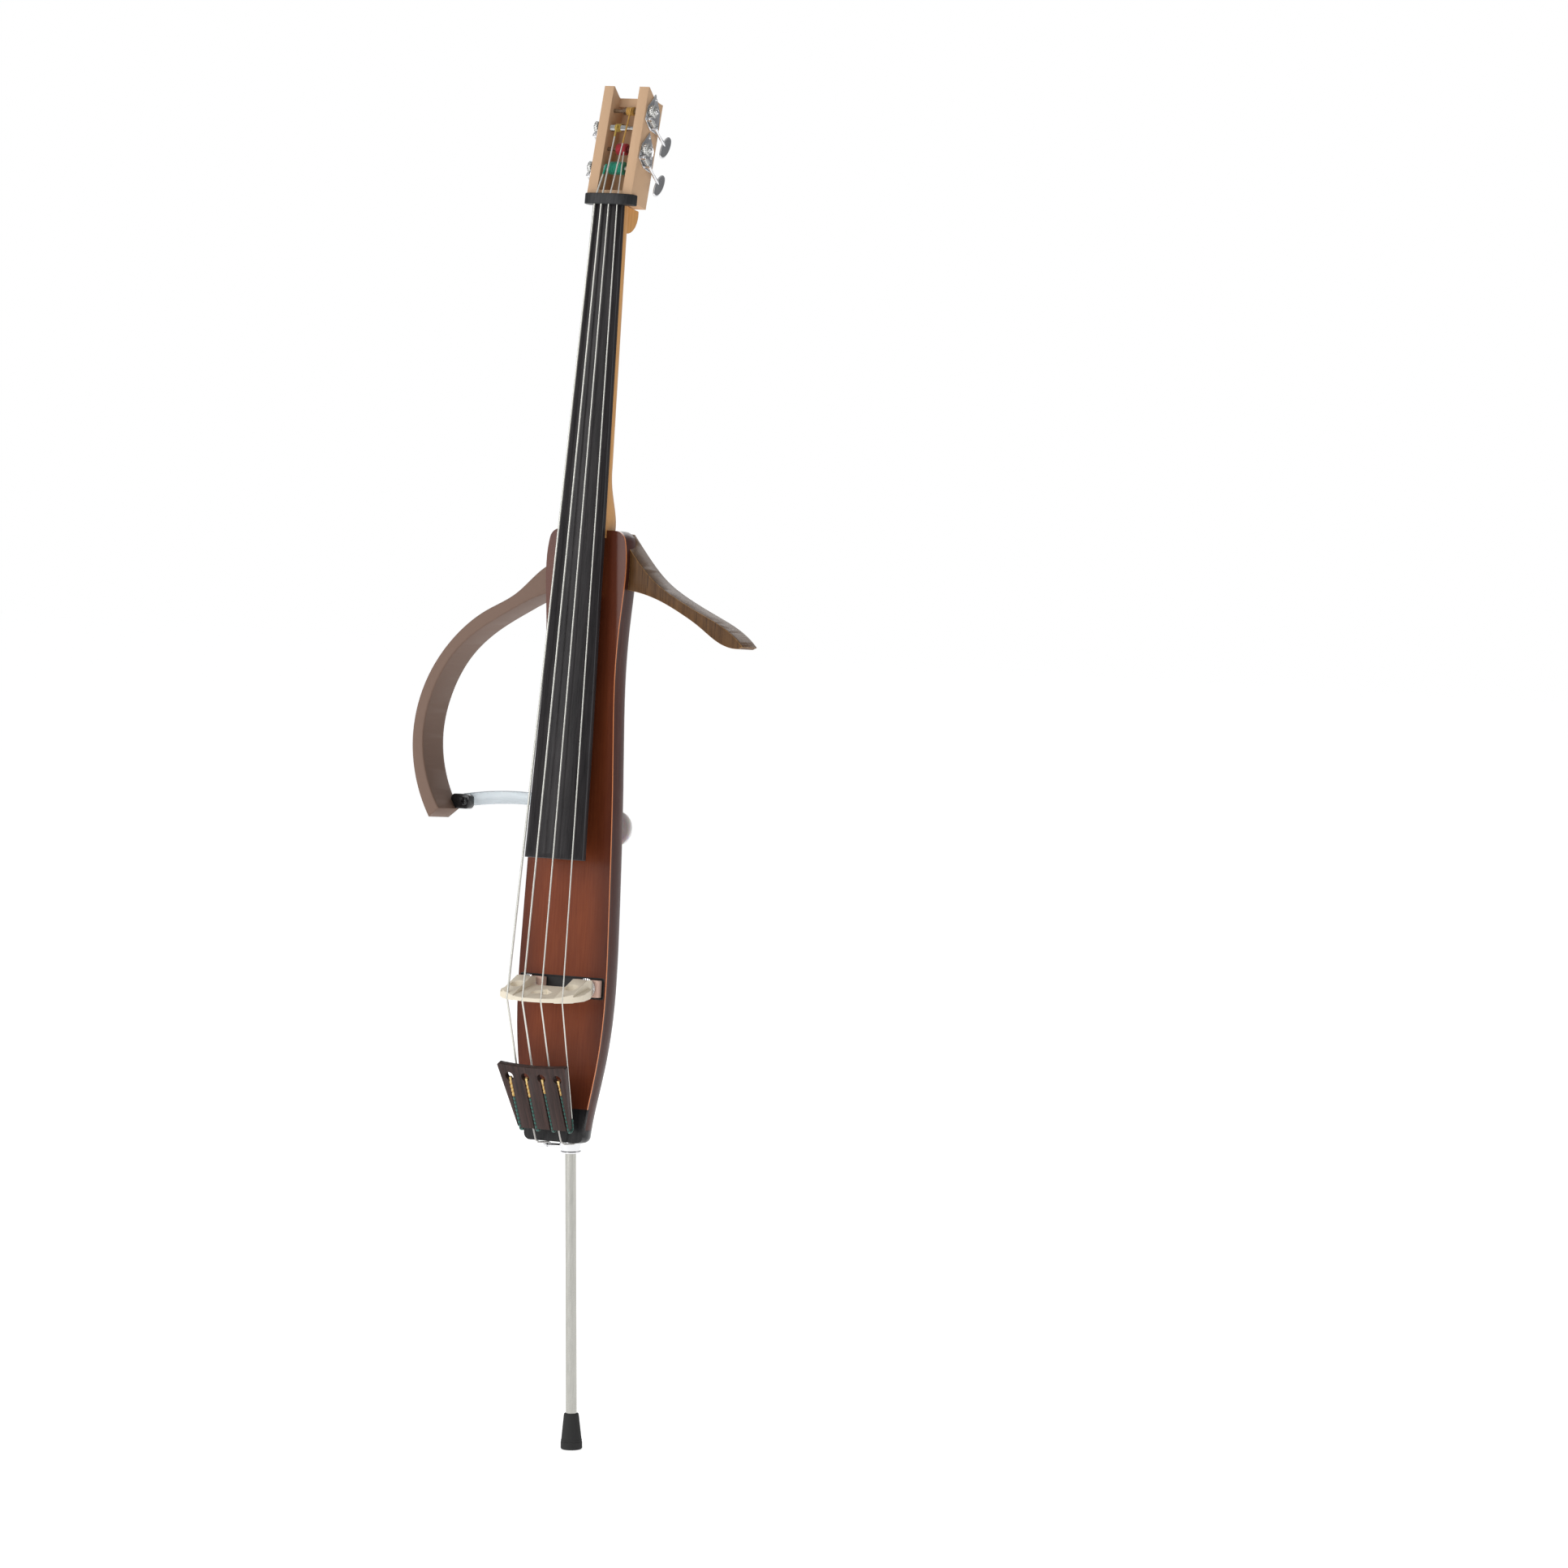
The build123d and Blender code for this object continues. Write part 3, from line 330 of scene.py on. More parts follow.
@dataclass(frozen=True)
class Sunburst(Finish):
    """Gloss lacquered front: amber brown in the middle of the body, dark at its edges and ends."""

    name: str = "sunburst_lacquer"
    amber: Colour = (0.165, 0.034, 0.011)
    amber_light: Colour = (0.225, 0.054, 0.018)
    dark: Colour = (0.050, 0.013, 0.009)
    # The next colour is a painted highlight: a bright orange line painted along the sides just under the front's
    # rounded rim.
    rim_highlight: Colour = (0.78, 0.26, 0.09)
    rim_highlight_depth: float = 0.0022

    def paint(self, tree: bpy.types.NodeTree, shader: bpy.types.Node) -> None:
        """Grain under a tint that darkens with the distance across and from the middle height, with a painted
        highlight line along the rim.
        """
        where = placed(tree, BODY)
        x, depth, v = put(tree, "ShaderNodeSeparateXYZ", {0: where}).outputs[:3]
        grain = grouped(tree, "grain", {"Vector": where, "Dark": rgba(self.amber),
                                        "Light": rgba(self.amber_light), "Pore": rgba(self.dark),
                                        "Lines": 420.0, "Pores": 0.25})
        side = spread(tree, math_node(tree, "ABSOLUTE", x), 0.030, 0.066)
        high = spread(tree, v, 0.36, 0.80)
        low = spread(tree, v, 0.17, 0.02)
        cloud = math_node(tree, "MULTIPLY", math_node(tree, "SUBTRACT", noise(tree, where, 9.0), 0.5), 0.5)
        ends = math_node(tree, "MULTIPLY", math_node(tree, "MAXIMUM", high, low), 0.72)
        shade = math_node(tree, "MAXIMUM", math_node(tree, "MULTIPLY", side, 0.72), ends)
        shade = put(tree, "ShaderNodeMath", {0: shade, 1: cloud}, operation="ADD", use_clamp=True).outputs[0]
        lacquer = mixed(tree, shade, grain.outputs["Color"], rgba(self.dark))
        # Painted highlight: on the sides, a band within a set depth under the front is painted bright orange as
        # the rim's highlight; below it the sides take the dark colour.
        normal = put(tree, "ShaderNodeNewGeometry").outputs["Normal"]
        facing = put(tree, "ShaderNodeVectorMath", {0: normal, 1: tuple(BODY.out)}, operation="DOT_PRODUCT")
        on_side = math_node(tree, "LESS_THAN", facing.outputs["Value"], 0.6)
        near_front = math_node(tree, "LESS_THAN", depth, self.rim_highlight_depth)
        line = math_node(tree, "MULTIPLY", on_side, near_front)
        below = mixed(tree, on_side, lacquer, rgba(self.dark))
        tree.links.new(mixed(tree, line, below, rgba(self.rim_highlight)), shader.inputs["Base Color"])
        touch = grouped(tree, "handling", {"Vector": where, "Roughness": 0.30, "Smear": 0.10})
        tree.links.new(touch.outputs["Roughness"], shader.inputs["Roughness"])
        shader.inputs["Specular IOR Level"].default_value = 0.2
        shader.inputs["Coat Weight"].default_value = 0.22
        shader.inputs["Coat Roughness"].default_value = 0.10
        self.bump(tree, shader, grain.outputs["Height"], 0.08)


@dataclass(frozen=True)
class Metal(Finish):
    """Plated or drawn metal, with faint scuffs."""

    name: str
    colour: Colour = (0.74, 0.73, 0.70)
    roughness: float = 0.14
    smear: float = 0.14
    way: Axis = Axis.EVEN
    relief: float = 0.05
    lines: float = 500.0

    def paint(self, tree: bpy.types.NodeTree, shader: bpy.types.Node) -> None:
        """Smears move the gloss and stretched noise gives the drawing marks."""
        where = placed(tree, BODY)
        touch = grouped(tree, "handling", {"Vector": where, "Roughness": self.roughness, "Smear": self.smear})
        marks = noise(tree, stretched(tree, where, self.way.value), self.lines, 3.0)
        tint = mixed(tree, spread(tree, marks, 0.3, 0.7), rgba(tuple(0.86 * c for c in self.colour)),
                     rgba(self.colour))
        tree.links.new(tint, shader.inputs["Base Color"])
        tree.links.new(touch.outputs["Roughness"], shader.inputs["Roughness"])
        shader.inputs["Metallic"].default_value = 1.0
        self.bump(tree, shader, marks, self.relief, 0.0001)


@dataclass(frozen=True)
class Moulding(Finish):
    """Moulded plastic, rubber or composite with a fine texture."""

    name: str
    colour: Colour
    dusty: Colour = (0.05, 0.05, 0.05)
    dust: float = 0.25
    roughness: float = 0.45
    smear: float = 0.15
    relief: float = 0.12
    transmission: float = 0.0
    subsurface: float = 0.0

    def paint(self, tree: bpy.types.NodeTree, shader: bpy.types.Node) -> None:
        """Dust lifts the colour in patches, and fine specks dent the skin."""
        where = placed(tree, BODY)
        touch = grouped(tree, "handling", {"Vector": where, "Roughness": self.roughness, "Smear": self.smear})
        amount = math_node(tree, "MULTIPLY", touch.outputs["Dust"], self.dust)
        tree.links.new(mixed(tree, amount, rgba(self.colour), rgba(self.dusty)), shader.inputs["Base Color"])
        tree.links.new(touch.outputs["Roughness"], shader.inputs["Roughness"])
        shader.inputs["Transmission Weight"].default_value = self.transmission
        shader.inputs["Subsurface Weight"].default_value = self.subsurface
        shader.inputs["Subsurface Scale"].default_value = 0.01
        self.bump(tree, shader, touch.outputs["Height"], self.relief, 0.0001)


@dataclass(frozen=True)
class Silk(Finish):
    """Twisted coloured thread, lying over a string in a spiral of two shades."""

    name: str
    first: Colour
    second: Colour
    share: float = 0.3
    roughness: float = 0.55

    def paint(self, tree: bpy.types.NodeTree, shader: bpy.types.Node) -> None:
        """The spiral comes from the piece's own map of turns along and way round."""
        turns = put(tree, "ShaderNodeTexCoord").outputs["UV"]
        twist = grouped(tree, "twist", {"Vector": turns, "First": rgba(self.first),
                                        "Second": rgba(self.second), "Share": self.share})
        touch = grouped(tree, "handling", {"Vector": placed(tree, BODY), "Roughness": self.roughness,
                                           "Smear": 0.2})
        tree.links.new(twist.outputs["Color"], shader.inputs["Base Color"])
        tree.links.new(touch.outputs["Roughness"], shader.inputs["Roughness"])
        shader.inputs["Sheen Weight"].default_value = 0.3
        self.bump(tree, shader, twist.outputs["Height"], 0.5)


@dataclass(frozen=True)
class WoundSteel(Finish):
    """Flat-wound string: bright steel ribbon in very close turns."""

    name: str = "wound_steel"
    bright: Colour = (0.83, 0.80, 0.73)
    dull: Colour = (0.52, 0.50, 0.45)

    def paint(self, tree: bpy.types.NodeTree, shader: bpy.types.Node) -> None:
        """Turns along the string alternate between ribbon and seam."""
        turns = put(tree, "ShaderNodeTexCoord").outputs["UV"]
        twist = grouped(tree, "twist", {"Vector": turns, "First": rgba(self.bright),
                                        "Second": rgba(self.dull), "Share": 0.18})
        touch = grouped(tree, "handling", {"Vector": placed(tree, BODY), "Roughness": 0.32, "Smear": 0.2})
        tree.links.new(twist.outputs["Color"], shader.inputs["Base Color"])
        tree.links.new(touch.outputs["Roughness"], shader.inputs["Roughness"])
        shader.inputs["Metallic"].default_value = 0.75
        self.bump(tree, shader, twist.outputs["Height"], 0.1, 0.0001)


class Finishes:
    """Every finish of the instrument, by its maker's name."""

    sunburst = Sunburst()
    back = Timber("back_lacquer", (0.044, 0.011, 0.008), (0.078, 0.020, 0.012), roughness=0.42, coat=0.05,
                  relief=0.06, pores=0.2, lines=300.0)
    walnut = Timber("walnut", (0.060, 0.026, 0.015), (0.135, 0.064, 0.040), lines=330.0, pores=0.75,
                    roughness=0.5, relief=0.35)
    # A lighter walnut painted on the left frame's rounded edges as a highlight line.
    walnut_edge_highlight = Timber("walnut_edge_highlight", (0.21, 0.10, 0.055), (0.30, 0.16, 0.09), lines=330.0, pores=0.4)
    walnut_right = Timber("walnut_right", (0.070, 0.030, 0.009), (0.150, 0.072, 0.024), lines=330.0,
                          pores=0.75, roughness=0.48, relief=0.35)
    # A bright orange walnut painted on the right frame's rounded ridges as a highlight line.
    walnut_right_highlight = Timber("walnut_right_edge_highlight", (0.38, 0.19, 0.05), (0.55, 0.30, 0.09), lines=330.0, pores=0.3)
    head = Timber("head_wood", (0.47, 0.235, 0.115), (0.68, 0.38, 0.20), (0.24, 0.11, 0.05), lines=300.0,
                  roughness=0.40, coat=0.15, relief=0.2, stand=HEAD)
    neck = Timber("neck_maple", (0.56, 0.27, 0.085), (0.74, 0.40, 0.14), (0.36, 0.18, 0.06), lines=200.0,
                  pores=0.3, roughness=0.38, coat=0.2, relief=0.12, stand=BOARD)
    ebony = Timber("ebony", (0.012, 0.011, 0.012), (0.035, 0.031, 0.033), (0.006, 0.006, 0.006), lines=420.0,
                   roughness=0.36, smear=0.16, relief=0.18, stand=BOARD)
    # A lighter ebony painted on the fingerboard's rounded edges as a highlight line.
    ebony_edge_highlight = Timber("ebony_edge_highlight", (0.05, 0.05, 0.053), (0.085, 0.085, 0.09), lines=420.0, roughness=0.4,
                        stand=BOARD)
    satin_black = Timber("nut_black", (0.017, 0.018, 0.019), (0.036, 0.037, 0.039), (0.01, 0.01, 0.01),
                         lines=300.0, pores=0.3, roughness=0.42, relief=0.1, stand=HEAD)
    saddle = Timber("saddle_black", (0.010, 0.010, 0.011), (0.028, 0.027, 0.028), (0.006, 0.006, 0.006),
                    lines=300.0, pores=0.3, roughness=0.33, relief=0.08)
    tail = Timber("tail_rosewood", (0.021, 0.014, 0.013), (0.072, 0.038, 0.032), (0.01, 0.006, 0.006),
                  lines=240.0, pores=0.6, roughness=0.38, relief=0.2, stand=TAIL)
    # A pale grey painted on the tailpiece's rounded edges as a highlight line.
    tail_edge_highlight = Timber("tail_edge_highlight", (0.16, 0.13, 0.12), (0.26, 0.22, 0.20), lines=240.0, stand=TAIL)
    bridge = Timber("bridge_maple", (0.88, 0.77, 0.65), (0.96, 0.89, 0.80), (0.66, 0.50, 0.36), lines=420.0,
                    pores=0.35, roughness=0.55, relief=0.2)
    feet = Timber("foot_maple", (0.70, 0.46, 0.36), (0.86, 0.62, 0.50), (0.45, 0.24, 0.16), lines=420.0,
                  pores=0.35, roughness=0.55, relief=0.2)
    chrome = Metal("chrome", (0.80, 0.79, 0.76), 0.10, 0.10)
    tube = Metal("drawn_tube", (0.47, 0.465, 0.43), 0.20, 0.12, Axis.ALONG, 0.08)
    steel = Metal("machined_steel", (0.60, 0.60, 0.58), 0.26, 0.16)
    brass = Metal("brass", (0.72, 0.52, 0.22), 0.28, 0.2)
    wound = WoundSteel()
    black = Moulding("black_moulding", (0.012, 0.012, 0.013))
    tray = Moulding("tray_black", (0.010, 0.010, 0.011), roughness=0.6)
    gloss_black = Moulding("gloss_black", (0.008, 0.008, 0.009), roughness=0.22, smear=0.1)
    rubber = Moulding("rubber", (0.013, 0.013, 0.014), dust=0.5, roughness=0.5, relief=0.3)
    clear = Moulding("clear_acrylic", (0.80, 0.87, 0.91), (0.93, 0.95, 0.96), 0.5, 0.22, 0.1, 0.05, 0.45)
    pad = Moulding("pad_rubber", (0.80, 0.81, 0.81), (0.90, 0.90, 0.90), 0.6, 0.38, 0.12, 0.15, 0.0, 0.3)
    cable = Moulding("tail_wire", (0.42, 0.40, 0.38), (0.6, 0.58, 0.55), 0.5, 0.35)
    circuit = Moulding("circuit_board", (0.02, 0.16, 0.05), (0.2, 0.35, 0.2), 0.3, 0.4)
    cell = Moulding("battery_jacket", (0.12, 0.12, 0.13), (0.5, 0.4, 0.2), 0.3, 0.3)


# ---------------------------------------------------------------- surfaces
def finish_mesh(name: str, vertices: Array, faces: list, uv: Array | None = None,
                sharp: float = 35.0) -> bpy.types.Object:
    """Makes an object from vertices and faces, smooth but for its sharp edges.

    Args:
        name: the object's name.
        vertices: points, in metres.
        faces: tuples of vertex numbers.
        uv: one pair for each vertex, or nothing.
        sharp: the angle in degrees past which an edge stays sharp.

    Returns:
        The object, linked to the scene.
    """
    mesh = bpy.data.meshes.new(name)
    mesh.from_pydata(vertices.tolist(), [], faces)
    if uv is not None:
        layer = mesh.uv_layers.new(name="turns")
        corners = np.zeros(len(mesh.loops), dtype=np.int32)
        mesh.loops.foreach_get("vertex_index", corners)
        layer.data.foreach_set("uv", uv[corners].astype(np.float32).ravel())
    made = bpy.data.objects.new(name, mesh)
    bpy.context.scene.collection.objects.link(made)
    tool = bmesh.new()
    tool.from_mesh(mesh)
    bmesh.ops.recalc_face_normals(tool, faces=tool.faces)
    tool.to_mesh(mesh)
    tool.free()
    mesh.shade_smooth()
    mesh.set_sharp_from_angle(angle=math.radians(sharp))
    return made


def rings_to_mesh(name: str, rings: Array, sharp: float = 35.0, uv: Array | None = None,
                  capped: bool = True) -> bpy.types.Object:
    """Joins rings of points into a closed surface: row i, column j meets row i+1, column j+1.

    Args:
        name: the object's name.
        rings: an array of rows by columns by three; each row closes on itself.
        sharp: the angle past which an edge stays sharp.
        uv: rows by columns by two, or nothing.
        capped: whether a fan closes each end, or the last ring joins the first.

    Returns:
        The object.
    """
    rows, columns = rings.shape[:2]
    number = np.arange(rows * columns).reshape(rows, columns)
    first = number if not capped else number[:-1]
    second = np.roll(number, -1, axis=0) if not capped else number[1:]
    quads = np.stack([first, np.roll(first, -1, 1), np.roll(second, -1, 1), second], -1).reshape(-1, 4)
    vertices = rings.reshape(-1, 3)
    faces = quads.tolist()
    if capped:
        vertices = np.vstack([vertices, rings[0].mean(0), rings[-1].mean(0)])
        low, high = rows * columns, rows * columns + 1
        faces += np.stack([np.roll(number[0], -1), number[0], np.full(columns, low)], -1).tolist()
        faces += np.stack([number[-1], np.roll(number[-1], -1), np.full(columns, high)], -1).tolist()
        if uv is not None:
            uv = np.vstack([uv.reshape(-1, 2), uv[0].mean(0), uv[-1].mean(0)])
    elif uv is not None:
        uv = uv.reshape(-1, 2)
    return finish_mesh(name, vertices, faces, uv, sharp)


def unit(vector: Array) -> Array:
    """A vector of length one."""
    return vector / np.linalg.norm(vector)


def beside(axis: Array) -> tuple[Array, Array]:
    """Two directions square to an axis and to each other."""
    help_axis = np.array((1.0, 0.0, 0.0)) if abs(axis[0]) < 0.9 else np.array((0.0, 0.0, 1.0))
    first = unit(np.cross(axis, help_axis))
    return first, np.cross(axis, first)


def rounded(profile: list[tuple[float, float]], radius: float, steps: int = 4) -> Array:
    """Rounds the inner corners of an open outline by a parabola through two points a radius away.

    Args:
        profile: the outline's corners.
        radius: how far from each corner the rounding starts.
        steps: how many points each rounding has.

    Returns:
        The rounded outline.
    """
    points = np.array(profile, float)
    out = [points[:1]]
    t = np.linspace(0.0, 1.0, steps)[:, None]
    for before, corner, after in zip(points, points[1:], points[2:]):
        reach = [min(radius, 0.45 * np.linalg.norm(p - corner)) for p in (before, after)]
        start = corner + unit(before - corner) * reach[0]
        end = corner + unit(after - corner) * reach[1]
        out.append((1 - t) ** 2 * start + 2 * t * (1 - t) * corner + t**2 * end)
    return np.vstack([*out, points[-1:]])


def turned(name: str, origin: Array, axis: Array, profile: list[tuple[float, float]], soft: float = 0.4,
           around: int = 48, wave: Callable[[Array, Array], Array] | None = None) -> bpy.types.Object:
    """A piece turned about an axis: radius r at each distance s along it.

    Args:
        name: the object's name.
        origin: a point on the axis, in metres.
        axis: the direction of the axis.
        profile: (distance along, radius) pairs in millimetres, from end to end.
        soft: how far each corner is rounded, in millimetres.
        around: how many points each ring has.
        wave: a factor on the radius as a function of distance along and angle.

    Returns:
        The object.
    """
    along, radius = rounded(profile, soft).T
    axis = unit(np.asarray(axis, float))
    first, second = beside(axis)
    angle = np.linspace(0.0, 2 * math.pi, around, endpoint=False)
    s, a = np.meshgrid(along, angle, indexing="ij")
    r = np.maximum(radius, 0.02)[:, None] * (wave(s, a) if wave else np.ones_like(s))
    rings = np.asarray(origin) + MM * (s[..., None] * axis + (r * np.cos(a))[..., None] * first
                                       + (r * np.sin(a))[..., None] * second)
    return rings_to_mesh(name, rings)


def swept(name: str, path: Array, radius: Callable[[Array, Array], Array], around: int,
          pitch: float) -> bpy.types.Object:
    """A round piece carried along a path that stays in planes square to X.

    Args:
        name: the object's name.
        path: points, in metres.
        radius: the radius in metres as a function of distance along and angle.
        around: how many points each ring has.
        pitch: how far one turn of its winding climbs, in millimetres, kept in the piece's map.

    Returns:
        The object.
    """
    tangent = np.gradient(path, axis=0)
    tangent /= np.linalg.norm(tangent, axis=1)[:, None]
    first = np.cross(tangent, (1.0, 0.0, 0.0))
    first /= np.linalg.norm(first, axis=1)[:, None]
    second = np.cross(tangent, first)
    step = np.linalg.norm(np.diff(path, axis=0), axis=1)
    along = np.concatenate([[0.0], np.cumsum(step)])
    angle = np.linspace(0.0, 2 * math.pi, around, endpoint=False)
    s, a = np.meshgrid(along, angle, indexing="ij")
    r = radius(s, a)
    rings = path[:, None] + (r * np.cos(a))[..., None] * first[:, None] + (r * np.sin(a))[
        ..., None] * second[:, None]
    return rings_to_mesh(name, rings, uv=np.stack([s / (pitch * MM), a / (2 * math.pi)], axis=-1))


def resampled(path: Array, spacing: float) -> Array:
    """Points evenly spaced along a path of straight runs."""
    step = np.linalg.norm(np.diff(path, axis=0), axis=1)
    along = np.concatenate([[0.0], np.cumsum(step)])
    places = np.linspace(0.0, along[-1], max(2, int(along[-1] / spacing) + 1))
    return np.stack([np.interp(places, along, path[:, i]) for i in range(3)], axis=1)


def stretch(path: Array, start: float, end: float) -> Array:
    """The part of a path between two distances along it."""
    step = np.linalg.norm(np.diff(path, axis=0), axis=1)
    along = np.concatenate([[0.0], np.cumsum(step)])
    inside = along[(along > start + 1e-6) & (along < end - 1e-6)]
    places = np.concatenate([[start], inside, [end]])
    return np.stack([np.interp(places, along, path[:, i]) for i in range(3)], axis=1)


def softened(node: str, width: float, edge: Finish | None = None, segments: int = 2,
             angle: float = 32.0) -> bpy.types.Object:
    """A copy of a CAD node with its edges rounded, standing in for it.

    Args:
        node: the CAD node.
        width: how wide the rounding is, in metres.
        edge: a lighter finish for the rounded edges, a painted highlight where they show as a line.
        segments: how many facets the rounding has.
        angle: the angle in degrees past which an edge is rounded.

    Returns:
        The object.
    """
    mesh = frame["nodes"][node].data.copy()
    mesh.name = f"{node}_finished"
    mesh.materials.clear()
    tool = bmesh.new()
    tool.from_mesh(mesh)
    bmesh.ops.remove_doubles(tool, verts=tool.verts, dist=2e-6)
    bmesh.ops.dissolve_limit(tool, angle_limit=math.radians(0.6), verts=tool.verts, edges=tool.edges)
    tool.to_mesh(mesh)
    tool.free()
    mesh.shade_smooth()
    made = bpy.data.objects.new(f"{node}_finished", mesh)
    bpy.context.scene.collection.objects.link(made)
    bevel = made.modifiers.new("edges", "BEVEL")
    bevel.width = width
    bevel.segments = segments
    bevel.limit_method = "ANGLE"
    bevel.angle_limit = math.radians(angle)
    # The rounded edges take the edge finish, which paints a highlight line along them.
    bevel.material = 1 if edge else -1
    bevel.harden_normals = True
    made.data.materials.append(None)
    if edge:
        made.data.materials.append(edge.material())
    return made


BODIES = {node: body for body, nodes in frame["record"]["behaviour"]["bodies"].items() for node in nodes}
JOINTS = {joint["name"]: joint for joint in frame["joints"]}


def dress(piece: bpy.types.Object, finish: Finish) -> None:
    """Gives a piece its finish."""
    if piece.data.materials:
        piece.data.materials[0] = finish.material()
    else:
        piece.data.materials.append(finish.material())


def dress_node(node: str, finish: Finish) -> None:
    """Gives a CAD node its finish."""
    piece = frame["nodes"][node]
    piece.data.materials.clear()
    piece.data.materials.append(finish.material())
    LOG.info("%s keeps its CAD surface, dressed in %s", node, finish.name)


def mount(piece: bpy.types.Object, like: str, finish: Finish, *replaced: str) -> bpy.types.Object:
    """Dresses a piece and makes it ride with a CAD node.

    Args:
        piece: the new object.
        like: the CAD node whose body it shares.
        finish: its finish.
        replaced: CAD nodes that it stands in for.

    Returns:
        The piece.
    """
    dress(piece, finish)
    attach(piece, BODIES[like])
    if replaced:
        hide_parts(*replaced)
    LOG.info("%s rides on %s in %s", piece.name, BODIES[like], finish.name)
    return piece


def rounded_node(node: str, finish: Finish, width: float, edge: Finish | None = None,
                 segments: int = 2) -> bpy.types.Object:
    """Replaces a CAD node by a copy with rounded edges."""
    return mount(softened(node, width * MM, edge, segments), node, finish, node)


def screw_head(name: str, centre: Array, axis: Array, radius: float, height: float,
               crossed: bool = True) -> bpy.types.Object:
    """A domed screw head with a slot or a cross sunk in it.

    The dome's height falls with the square of the distance out; where a point lies within the
    slot's half width of either diameter it is sunk by half the height.

    Args:
        name: the object's name.
        centre: the middle of its seat, in metres.
        axis: the way it faces.
        radius, height: its size in millimetres.
        crossed: a cross if true, a single slot if not.

    Returns:
        The object.
    """
    share = np.concatenate([[0.0], np.linspace(0.12, 0.94, 12), [1.0, 1.0]])
    angle = np.linspace(0.0, 2 * math.pi, 56, endpoint=False)
    s, a = np.meshgrid(share, angle, indexing="ij")
    rise = height * (1.0 - 0.55 * s**2)
    rise[-1] = 0.0
    x, y = s * np.cos(a), s * np.sin(a)
    slot = (np.abs(y) < 0.13) & (np.abs(x) < 0.72)
    if crossed:
        slot |= (np.abs(x) < 0.13) & (np.abs(y) < 0.72)
    rise = np.where(slot & (s < 0.8), rise - 0.5 * height, rise)
    axis = unit(np.asarray(axis, float))
    first, second = beside(axis)
    rings = np.asarray(centre) + MM * (rise[..., None] * axis + radius * (x[..., None] * first
                                                                         + y[..., None] * second))
    return rings_to_mesh(name, rings, sharp=25.0)


# ---------------------------------------------------------------- strings
@dataclass(frozen=True)
class StringPlan:
    """Where one string runs and how it is dressed, in millimetres."""

    key: str
    diameter: float
    nut_x: float
    nut_out: float
    bridge_x: float
    bridge_h: float
    tail_x: float
    start_x: float
    post_up: float
    drum_r: float
    thread: Finish
    thread_length: float
    gold_length: float
    silk_r: float

    def route(self) -> Array:
        """The string's middle line from its post to its keyhole, with its bends rounded."""
        post_depth, lift, wrap = 11.0, 0.35, (-4.4, -12.2, -2.4)
        deep = post_depth - self.drum_r - self.diameter / 2 - lift
        corners = [
            HEAD.point(self.start_x, self.post_up + 2, -deep),
            BOARD.point(self.nut_x, 7.0, self.nut_out),
            BODY.point(self.bridge_x, 180.3, self.bridge_h),
            TAIL.point(self.tail_x, wrap[0], wrap[1]),
            TAIL.point(self.tail_x, wrap[0], wrap[2]),
            TAIL.point(self.tail_x, 67.0, wrap[2]),
        ]
        bent = [corners[0][None]]
        t = np.linspace(0.0, 1.0, 9)[:, None]
        for before, corner, after in zip(corners, corners[1:], corners[2:]):
            reach = 4.2 * MM
            start = corner + unit(before - corner) * reach
            end = corner + unit(after - corner) * reach
            bent.append((1 - t) ** 2 * start + 2 * t * (1 - t) * corner + t**2 * end)
        return np.vstack([*bent, corners[-1][None]])


SILK_TEAL = Silk("tail_silk_teal", (0.004, 0.115, 0.085), (0.010, 0.022, 0.020), 0.35)
SILK_GOLD = Silk("tail_silk_gold", (0.66, 0.38, 0.08), (0.80, 0.55, 0.20), 0.4)
POST_TEAL = Silk("post_silk_teal", (0.0, 0.36, 0.22), (0.0, 0.22, 0.14), 0.25)
POST_YELLOW = Silk("post_silk_yellow", (0.62, 0.42, 0.06), (0.46, 0.30, 0.05), 0.3)
POST_GOLD = Silk("post_silk_gold", (0.62, 0.34, 0.05), (0.45, 0.24, 0.04), 0.3)
POST_RED = Silk("post_silk_red", (0.52, 0.004, 0.02), (0.32, 0.0, 0.012), 0.3)

STRINGS = (
    StringPlan("e", 2.8, -16.6, 4.4, -41.3, 64.5, -35.8, -11.5, 46.0, 8.5, POST_TEAL, 14.0, 22.0, 2.6),
    StringPlan("a", 2.4, -5.5, 6.4, -13.8, 72.0, -11.9, -7.5, 99.5, 5.6, POST_YELLOW, 16.0, 22.0, 2.15),
    StringPlan("d", 2.0, 5.5, 6.3, 13.8, 72.0, 11.9, 9.5, 122.0, 6.0, POST_GOLD, 48.0, 15.0, 1.8),
    StringPlan("g", 1.7, 16.6, 4.2, 41.3, 64.5, 35.8, 10.0, 71.2, 7.8, POST_RED, 8.0, 16.0, 1.55),
)


